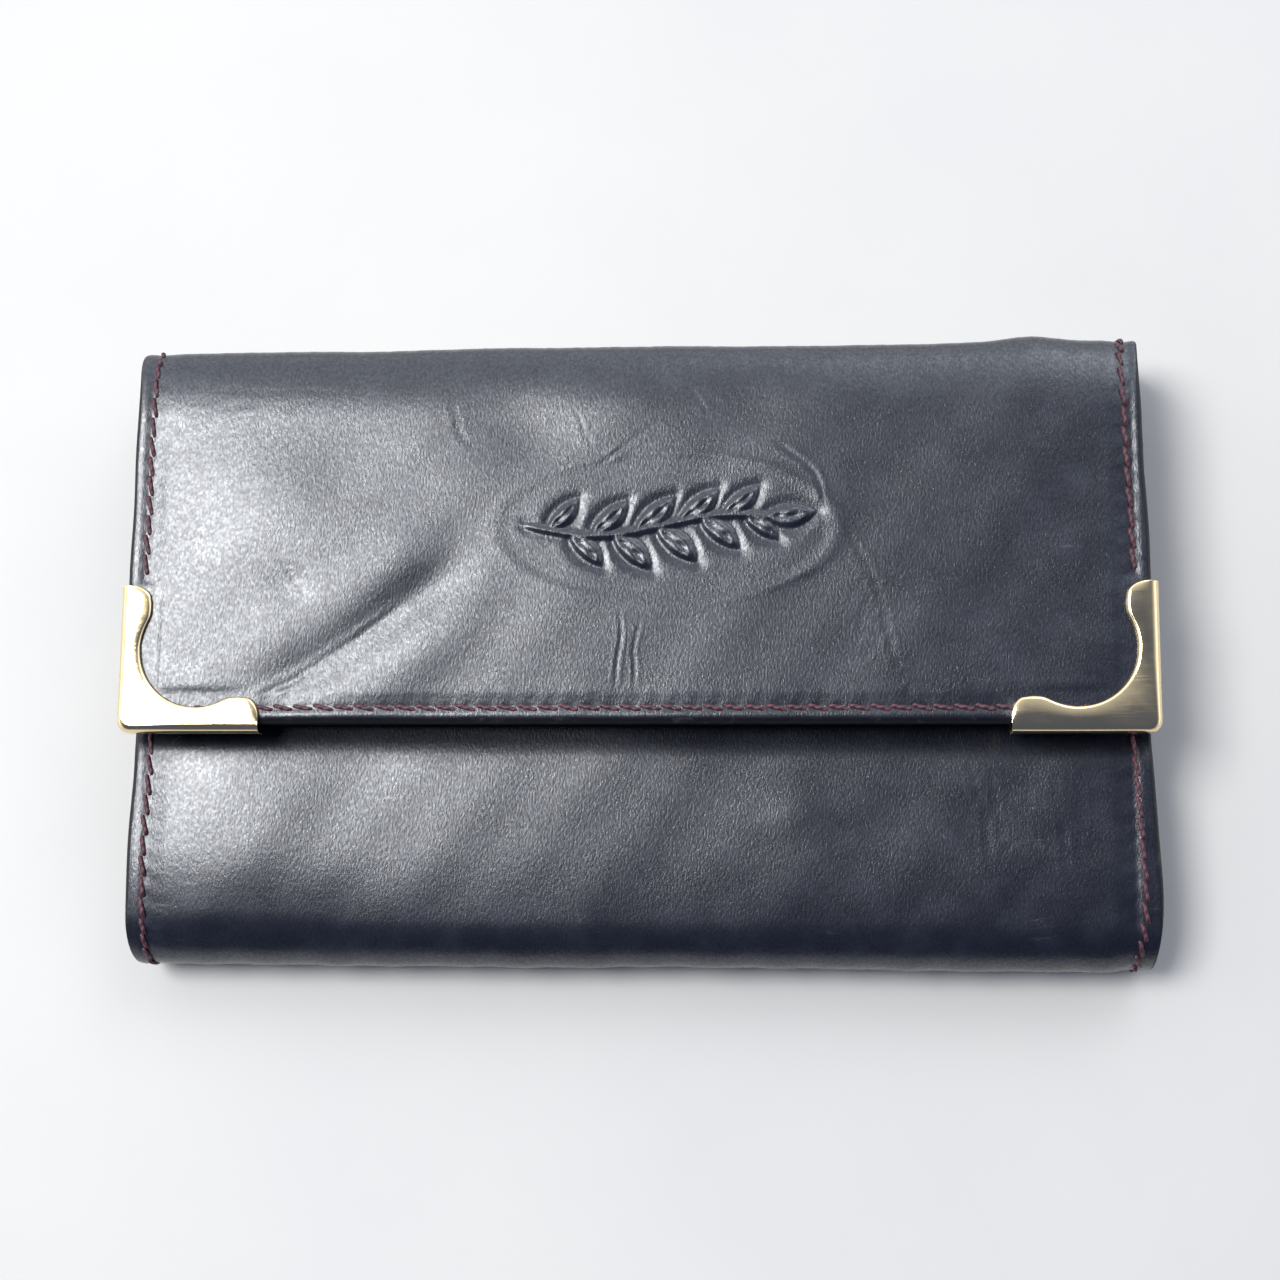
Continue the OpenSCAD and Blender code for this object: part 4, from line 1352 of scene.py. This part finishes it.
@dataclass
class Stitching:
    """The saddle stitching along the sides and along the flap's front edge."""

    size: CaseSizes
    work: LeatherWork
    finish: Finishes
    length: float = 2.60
    radius: float = 0.24
    slant: float = 0.22

    def stitch_shape(self) -> tuple[Array, Array, Array]:
        """One stitch: a round thread whose middle stands up and whose ends dive into the leather.

        Along the share t from -1 to 1, the height is 0.10 - 0.40 t^8 and the radius is
        radius (1 - 0.25 t^4), flattened to 0.8 across the height.

        Returns:
            The points in (along, across, up), the map's points and the quads with closed ends.
        """
        t = np.array([-1.0, -0.86, -0.62, -0.25, 0.25, 0.62, 0.86, 1.0])
        a = np.linspace(0.0, 2 * math.pi, 8)[:-1]
        t_grid, a_grid = np.meshgrid(t, a, indexing="ij")
        r = self.radius * (1 - 0.25 * t_grid**4)
        up = 0.10 - 0.40 * t_grid**8 + 0.8 * r * np.sin(a_grid)
        shape = np.stack([t_grid * self.length / 2 * (1 - 0.04 * t_grid**4), r * np.cos(a_grid), up], -1)
        uv = np.stack([t_grid * self.length / 2, a_grid * self.radius], -1)
        faces = MeshWriter.ring_faces(len(t), len(a))
        return shape.reshape(-1, 3), uv.reshape(-1, 2), faces

    def sew(self, name: str, s: Array, x: Array, along_x: bool, inner: bool = False) -> bpy.types.Object:
        """Lays one stitch at each place (s, x) of the outer leather, or of the lining under it.

        Args:
            name: the piece's name.
            s: the stitches' distances along the path.
            x: their places across.
            along_x: whether the seam runs across the case.
            inner: whether the stitches lie on the lining.

        Returns:
            The piece, with all its stitches.
        """
        shape, uv, faces = self.stitch_shape()
        count, n = len(s), len(shape)
        turn = self.slant + 0.05 * np.sin(3.7 * np.arange(count) + s[0])
        c, d = np.cos(turn)[:, None], np.sin(turn)[:, None]
        along = shape[None, :, 0] * c - shape[None, :, 1] * d
        side = shape[None, :, 0] * d + shape[None, :, 1] * c
        if along_x:
            xs, ss = x[:, None] + along, s[:, None] + side
        else:
            xs, ss = x[:, None] + side, s[:, None] + along
        face = self.work.lining_face if inner else self.work.relief
        base = face(np.broadcast_to(s[:, None], xs.shape).copy(), np.broadcast_to(x[:, None], xs.shape).copy())
        sunk = 0.2 * (along_x & (np.abs(x) > self.size.half_w - self.size.cap_arm + 2.0))[:, None]
        lift = shape[None, :, 2] - sunk + 0.02 * np.sin(2.9 * np.arange(count))[:, None]
        lift = base - lift if inner else base + lift
        y0, z0, ny, nz = self.work.path.at(ss)
        points = np.stack([xs, y0 + ny * lift, z0 + nz * lift], -1).reshape(-1, 3)
        shift = (np.arange(count) * n)[:, None, None]
        quads = (faces[None] + shift).reshape(-1, 4).tolist()
        ring = np.arange(7)
        for k in range(count):
            quads += [(k * n + ring[::-1]).tolist(), (k * n + n - 7 + ring).tolist()]
        shift_uv = np.stack([7.3 * np.arange(count), np.zeros(count)], -1)[:, None, :]
        return MeshWriter.write(name, points, quads, (uv[None] + shift_uv).reshape(-1, 2), [self.finish.thread])

    def sides(self) -> None:
        """The two side seams, each in three lengths that follow the leather round its folds."""
        z, p, relief = self.size, self.work.path, self.work.relief
        cap_end = p.length - z.cap_arm - 0.6
        lengths = (
            ("front", 1.6, p.back_middle, ("front", "back"), ("front_seam_", "back_seam_")),
            ("back", p.back_middle, p.spine_middle, ("back", "spine"), ("back_seam_",)),
            ("flap", p.spine_middle, cap_end, ("spine", "flap"), ("flap_seam_",)),
        )
        grid = np.arange(0.5, p.length / relief.pitch) * relief.pitch
        for side, sign in (("left", -1.0), ("right", 1.0)):
            for part, low, high, bodies, nodes in lengths:
                s = grid[(grid >= low) & (grid < high)]
                x = sign * (self.work.outline.side(s, sign) - relief.seam_inset)
                piece = self.sew(f"stitches_{part}_{side}", s, x, False)
                self.work.crossing(piece, *bodies)
                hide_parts(*[n + side for n in nodes])
                if part == "back":
                    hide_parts("spine_seams")
                self.inner_side(part, side, sign, s, x, bodies, nodes)

    def inner_side(self, part: str, side: str, sign: float, s: Array, x: Array, bodies: tuple,
                   nodes: tuple) -> None:
        """The same seam's stitches on the lining, where the open case shows them."""
        bare = s > self.work.path.end[Place.BACK] + 0.5
        if part == "front" or not bare.any():
            return
        piece = self.sew(f"stitches_{part}_{side}_inner", s[bare], x[bare] - sign * 0.1, False, True)
        self.work.crossing(piece, *bodies)
        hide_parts(nodes[0] + side)

    def front_edge(self) -> None:
        """The seam along the flap's front edge, between the caps."""
        z, p, relief = self.size, self.work.path, self.work.relief
        reach = z.half_w - z.cap_arm + 0.8
        x = np.arange(-math.floor(reach / relief.pitch), math.floor(reach / relief.pitch) + 1) * relief.pitch
        hollow = z.half_w - CornerCaps.hollow_c
        shown = np.round(np.array([hollow - 0.4, hollow + 1.8]) / relief.pitch) * relief.pitch
        x = np.concatenate([-shown[::-1], x, shown])
        s = np.full(len(x), p.length - relief.front_seam_inset)
        for name, inner in (("stitches_flap_front", False), ("stitches_flap_front_inner", True)):
            piece = self.sew(name, s - (0.1 if inner else 0.0), x, True, inner)
            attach(piece, "flap")
            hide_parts("flap_seam_front")


# ---------------------------------------------------------------- metal


@dataclass
class CornerCaps:
    """The two folded metal caps on the flap's front corners."""

    size: CaseSizes
    finish: Finishes
    metal: float = 0.5
    side_room: float = 0.1
    front_room: float = 0.5
    hollow_c: float = 8.0
    hollow_r: float = 6.2
    lobe_w: float = 2.9
    lobe_r: float = 2.2
    roll: float = 0.95
    bevel: float = 0.36

    def arm(self, t: Array) -> Array:
        """The inner edge of an arm at the distance t from the leather's corner.

        It is the lower of the lobe's top, lobe_w, and the hollow circle, hollow_c -
        sqrt(hollow_r^2 - (t - hollow_c)^2), joined by a soft minimum, and the end is a quarter round.
        """
        in_circle = np.clip(self.hollow_r**2 - (t - self.hollow_c) ** 2, 0.0, None)
        hollow = self.hollow_c - np.sqrt(in_circle)
        gap = hollow - self.lobe_w
        soft = 0.35
        level = self.lobe_w + 0.5 * (gap - np.sqrt(gap**2 + soft**2)) + 0.5 * soft * ease(2.0, 3.5, gap)
        end = self.size.cap_arm
        over = np.clip(t - (end - self.lobe_r), 0.0, self.lobe_r)
        return level - (self.lobe_r - np.sqrt(np.clip(self.lobe_r**2 - over**2, 0.0, None)))

    def edges(self) -> tuple[Array, Array]:
        """The cap's inner and outer edge in plan, from the end of one arm round to the other.

        Along the arms the two are joined by lines square to the wall, and round the corner by rays
        from the hollow's centre. The outer corner is a quarter round of radius 1.3.

        Returns:
            The inner and the outer points, with the leather's corner at the origin.
        """
        end = self.size.cap_arm
        x_wall, y_wall = -(self.side_room + self.metal), -(self.front_room + self.metal)
        ease_out = np.sin(np.linspace(0.0, math.pi / 2, 12))
        t = np.concatenate([end - self.lobe_r + self.lobe_r * ease_out[::-1],
                            np.linspace(end - self.lobe_r, self.hollow_c, 26)[1:-1]])
        arm_x_in = np.stack([t, self.arm(t)], -1)
        arm_x_out = np.stack([t, np.full_like(t, y_wall)], -1)
        angle = np.radians(np.linspace(-90.0, -180.0, 49))
        way = np.stack([np.cos(angle), np.sin(angle)], -1)
        fan_in = self.hollow_c + self.hollow_r * way
        with np.errstate(divide="ignore"):
            to_y = np.where(way[:, 1] < -1e-9, (y_wall - self.hollow_c) / way[:, 1], np.inf)
            to_x = np.where(way[:, 0] < -1e-9, (x_wall - self.hollow_c) / way[:, 0], np.inf)
        reach = np.minimum(to_y, to_x)
        fan_out = self.hollow_c + reach[:, None] * way
        fan_out = self.round_corner(fan_out, x_wall, y_wall, 1.3)
        arm_y_in = np.stack([self.arm(t), t], -1)[::-1]
        arm_y_out = np.stack([np.full_like(t, x_wall), t], -1)[::-1]
        return np.concatenate([arm_x_in, fan_in, arm_y_in]), np.concatenate([arm_x_out, fan_out, arm_y_out])

    @staticmethod
    def round_corner(points: Array, x_wall: float, y_wall: float, r: float) -> Array:
        """Pulls the points near the square corner onto a quarter round of radius r."""
        cx, cy = x_wall + r, y_wall + r
        near = (points[:, 0] < cx) & (points[:, 1] < cy)
        off = points - np.array([cx, cy])
        length = np.maximum(np.linalg.norm(off, axis=1), 1e-9)
        onto = np.array([cx, cy]) + off / length[:, None] * r
        return np.where(near[:, None], onto, points)

    def section(self) -> tuple[Array, Array, Array]:
        """The folded strip's section, from the upper face's inner edge round the wall to the lower's.

        Returns:
            For each point: its distance from the outer edge where it hangs on the wall, its
            distance from the inner edge where it hangs on that, and its level. The unused one is NaN.
        """
        z = self.size
        low, top = z.cap_low, z.cap_top
        r, m, b = self.roll, self.metal, self.bevel
        turn = np.radians(np.linspace(0.0, 90.0, 8))
        small = np.radians(np.linspace(0.0, 90.0, 4))
        inner_r = max(r - m, 0.12)
        nan = np.nan
        rows: list = []
        rows += [(nan, b * (1 - math.sin(a)), top - b * (1 - math.cos(a))) for a in small[::-1]]
        rows += [(r - r * math.sin(a), nan, top - r + r * math.cos(a)) for a in turn]
        rows += [(r - r * math.cos(a), nan, low + r - r * math.sin(a)) for a in turn]
        rows += [(nan, b * (1 - math.sin(a)), low + b * (1 - math.cos(a))) for a in small]
        rows += [(nan, 0.0, low + m)]
        rows += [(m + inner_r - inner_r * math.sin(a), nan, low + m + inner_r - inner_r * math.cos(a)) for a in turn[::2]]
        rows += [(m + inner_r - inner_r * math.cos(a), nan, top - m - inner_r + inner_r * math.sin(a))
                 for a in turn[::2]]
        rows += [(nan, 0.0, top - m)]
        table = np.array(rows, float)
        return table[:, 0], table[:, 1], table[:, 2]

    def build(self) -> None:
        """Makes both caps; the left one is the right one turned over across the case."""
        z = self.size
        inner, outer = self.edges()
        span = np.linalg.norm(outer - inner, axis=1)
        way = (outer - inner) / span[:, None]
        from_outer, from_inner, level = self.section()
        along = np.where(np.isnan(from_inner)[None, :],
                         span[:, None] - np.nan_to_num(from_outer)[None, :],
                         np.nan_to_num(from_inner)[None, :])
        plan = inner[:, None, :] + way[:, None, :] * along[..., None]
        dome = 0.05 * ease(z.cap_top - 0.3, z.cap_top - 0.02, level)[None, :] * np.ones((len(inner), 1))
        steps = np.concatenate([[0.0], np.cumsum(np.linalg.norm(np.diff(outer, axis=0), axis=1))])
        uv = np.stack([np.repeat(steps, len(level)), along.ravel()], -1)
        rows, loop = len(inner), len(level)
        faces = MeshWriter.ring_faces(rows, loop).tolist()
        faces += [list(range(loop))[::-1], [(rows - 1) * loop + i for i in range(loop)]]
        flat = np.arange(len(faces)) >= len(faces) - 2
        for name, sign, node in (("cap_left", -1.0, "corner_cap_left"), ("cap_right", 1.0, "corner_cap_right")):
            points = np.stack([sign * (z.half_w - plan[..., 0]), z.flap_y + plan[..., 1],
                               np.broadcast_to(level, plan.shape[:2]) + dome], -1).reshape(-1, 3)
            piece = MeshWriter.write(name, points, faces, uv, [self.finish.gold], None, flat)
            bevel = piece.modifiers.new("soft_ends", "BEVEL")
            bevel.width = 0.08 * MM
            bevel.segments = 2
            bevel.angle_limit = math.radians(60)
            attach(piece, "flap")
            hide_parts(node)


@dataclass
class PressStud:
    """The hidden press stud: turned pieces, each a profile spun about the stud's axis."""

    size: CaseSizes
    finish: Finishes
    sides: int = 64

    def turned(self, name: str, profile: list, node: str, body: str) -> None:
        """Spins a closed profile of (radius, level) points about the axis.

        A point at the angle a lies at (r cos a, r sin a). Points on the axis are kept at a radius
        of a fiftieth of a millimetre and the small hole is shut by a face.

        Args:
            name: the piece's name.
            profile: the points, from the axis at the bottom to the axis at the top, or a ring.
            node: the CAD node that the piece stands for.
            body: the body that it rides on.
        """
        z = self.size
        line = np.array(profile, float)
        solid = line[0, 0] <= 0.0 and line[-1, 0] <= 0.0
        line[:, 0] = np.maximum(line[:, 0], 0.02)
        a = np.linspace(0.0, 2 * math.pi, self.sides + 1)[:-1]
        r, t = np.meshgrid(line[:, 0], a, indexing="ij")
        points = np.stack([r * np.cos(t), z.snap_y + r * np.sin(t),
                           np.broadcast_to(line[:, 1][:, None], r.shape)], -1).reshape(-1, 3)
        if solid:
            faces = MeshWriter.ring_faces(len(line), self.sides).tolist()
            faces += [list(range(self.sides))[::-1], [(len(line) - 1) * self.sides + i for i in range(self.sides)]]
        else:
            rows = np.concatenate([np.arange(len(line)), [0]])
            quads = MeshWriter.ring_faces(len(line) + 1, self.sides)
            faces = (rows[quads // self.sides] * self.sides + quads % self.sides).tolist()
        uv = np.stack([(t * r).ravel(), np.broadcast_to(line[:, 1][:, None], r.shape).ravel()], -1)
        piece = MeshWriter.write(name, points, faces, uv, [self.finish.stud])
        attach(piece, body)
        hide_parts(node)

    @staticmethod
    def rounded(points: list, r: float, steps: int = 4) -> list:
        """Replaces each inner corner of a line by a quadratic curve that starts r before it."""
        line = np.array(points, float)
        out = [line[0]]
        for a, b, c in zip(line[:-2], line[1:-1], line[2:]):
            before = b + (a - b) * min(r / np.linalg.norm(a - b), 0.45)
            after = b + (c - b) * min(r / np.linalg.norm(c - b), 0.45)
            for t in np.linspace(0.0, 1.0, steps + 1):
                out.append((1 - t) ** 2 * before + 2 * t * (1 - t) * b + t * t * after)
        return [*out, line[-1]]

    def build(self) -> None:
        """The stud on the front wall and the socket under the flap."""
        z = self.size
        base, under = z.body_top, z.flap_under
        stud = [(0.0, base), (4.5, base), (4.5, base + 0.28), (3.7, base + 0.5), (2.4, base + 0.42),
                (1.75, base + 0.62), (1.72, base + 0.95), (2.0, base + 1.18), (1.85, base + 1.46),
                (0.0, base + 1.55)]
        self.turned("stud_turned", self.rounded(stud, 0.25), "snap_stud", "front")
        low = base + 0.8
        ring = [(2.75, low + 0.12), (3.1, low), (4.2, low), (5.0, low + 0.35), (5.0, under), (1.3, under),
                (1.3, under - 0.33), (2.4, under - 0.33), (2.4, low + 0.62), (2.72, low + 0.52),
                (2.72, low + 0.2), (2.42, low + 0.16), (2.5, low + 0.04)]
        self.turned("socket_turned", ring, "snap_socket", "flap")


@dataclass
class HiddenPieces:
    """The CAD pieces that stay as they are, between leather and lining, with their own finishes."""

    finish: Finishes

    def dress(self, nodes: dict) -> None:
        """Gives each kept node its material."""
        for names, material in ((("back_board", "front_board", "flap_board"), self.finish.board),
                                (("stud_post", "socket_post", "snap_spring"), self.finish.stud)):
            for name in names:
                node = nodes[name]
                for slot in node.material_slots:
                    slot.material = material


# ---------------------------------------------------------------- stage


@dataclass(frozen=True)
class SoftLight:
    """One soft box: where it is, what it points at, its size and its strength."""

    name: str
    place: tuple
    target: tuple
    size: tuple
    power: float
    colour: tuple = (1.0, 1.0, 1.0)

    def add(self) -> None:
        """Adds the light."""
        lamp = bpy.data.lights.new(self.name, "AREA")
        lamp.shape = "RECTANGLE"
        lamp.size, lamp.size_y = (v * MM for v in self.size)
        lamp.energy = self.power
        lamp.color = self.colour
        piece = bpy.data.objects.new(self.name, lamp)
        bpy.context.scene.collection.objects.link(piece)
        place = np.array(self.place) * MM
        way = np.array(self.target) * MM - place
        piece.location = place
        piece.rotation_euler = Vector(way).to_track_quat("-Z", "Y").to_euler()


@dataclass
class Stage:
    """The floor, the lights, the surroundings and the camera."""

    focal_px: float = 2000.0
    image_px: float = 1280.0
    sensor_mm: float = 36.0
    camera_at: tuple = (16.3, -30.3, 224.6)
    camera_turn: tuple = (8.4, 4.1, 0.41)
    floor_half: float = 6000.0

    def build(self) -> None:
        """Makes all of it."""
        self.camera()
        self.floor()
        self.surroundings()
        for light in (
            SoftLight("window", (-440.0, 160.0, 896.0), (-10.0, 0.0, 0.0), (420.0, 400.0), 13.4, (1.0, 0.99, 0.96)),
            SoftLight("sky", (380.0, 760.0, 720.0), (0.0, 0.0, 0.0), (500.0, 500.0), 2.6, (0.90, 0.95, 1.0)),
        ):
            light.add()

    def camera(self) -> None:
        """A camera nearly above the case, a little towards the bottom fold and to the right."""
        data = bpy.data.cameras.new("camera")
        data.sensor_width = self.sensor_mm
        data.lens = self.focal_px / self.image_px * self.sensor_mm
        data.clip_start, data.clip_end = 0.005, 20.0
        piece = bpy.data.objects.new("camera", data)
        bpy.context.scene.collection.objects.link(piece)
        piece.location = [v * MM for v in self.camera_at]
        piece.rotation_euler = [math.radians(v) for v in self.camera_turn]
        bpy.context.scene.camera = piece

    def floor(self) -> None:
        """The surface that the case lies on, a hair below its back."""
        h = self.floor_half
        points = np.array([[-h, -h, -0.02], [h, -h, -0.02], [h, h, -0.02], [-h, h, -0.02]])
        mesh = bpy.data.meshes.new("floor")
        mesh.from_pydata((points * MM).tolist(), [], [[0, 1, 2, 3]])
        mesh.materials.append(PaleStone().make())
        floor = bpy.data.objects.new("floor", mesh)
        bpy.context.scene.collection.objects.link(floor)

    @staticmethod
    def surroundings() -> None:
        """A room: bright towards the horizon and dim overhead, a little to the right."""
        world = bpy.data.worlds.new("room")
        bpy.context.scene.world = world
        world.use_nodes = True
        tree = world.node_tree
        tree.nodes.clear()
        output = tree.nodes.new("ShaderNodeOutputWorld")
        ground = tree.nodes.new("ShaderNodeBackground")
        tree.links.new(ground.outputs[0], output.inputs["Surface"])
        place = tree.nodes.new("ShaderNodeTexCoord")
        dot = tree.nodes.new("ShaderNodeVectorMath")
        dot.operation = "DOT_PRODUCT"
        dot.inputs[1].default_value = (0.05, -0.60, 0.80)
        tree.links.new(place.outputs["Generated"], dot.inputs[0])
        ramp = tree.nodes.new("ShaderNodeValToRGB")
        ramp.color_ramp.elements[0].position = 0.12
        ramp.color_ramp.elements[0].color = (0.90, 0.93, 0.985, 1.0)
        ramp.color_ramp.elements[1].position = 0.70
        ramp.color_ramp.elements[1].color = (0.047, 0.059, 0.104, 1.0)
        tree.links.new(dot.outputs["Value"], ramp.inputs[0])
        tree.links.new(ramp.outputs[0], ground.inputs["Color"])
        ground.inputs["Strength"].default_value = 1.85
        bpy.context.scene.view_settings.view_transform = "Standard"


# ---------------------------------------------------------------- the case


def corners(box: tuple) -> list:
    """A box's two corners as plain numbers."""
    return [[float(v) for v in corner] for corner in box]


def main() -> None:
    """Builds the stage and each sub-assembly in order."""
    logging.basicConfig(level=logging.INFO, format="%(message)s")
    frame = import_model()
    size = CaseSizes.from_frame(frame)
    Stage().build()
    finish = Finishes()
    path = FoldPath(size)
    work = LeatherWork(size, path, finish)
    work.outer_sheets()
    work.linings()
    inside = PocketInside(size, work, finish)
    inside.gussets()
    inside.slip_panel()
    stitching = Stitching(size, work, finish)
    stitching.sides()
    stitching.front_edge()
    CornerCaps(size, finish).build()
    PressStud(size, finish).build()
    HiddenPieces(finish).dress(frame["nodes"])


if __name__ == "__main__":
    main()
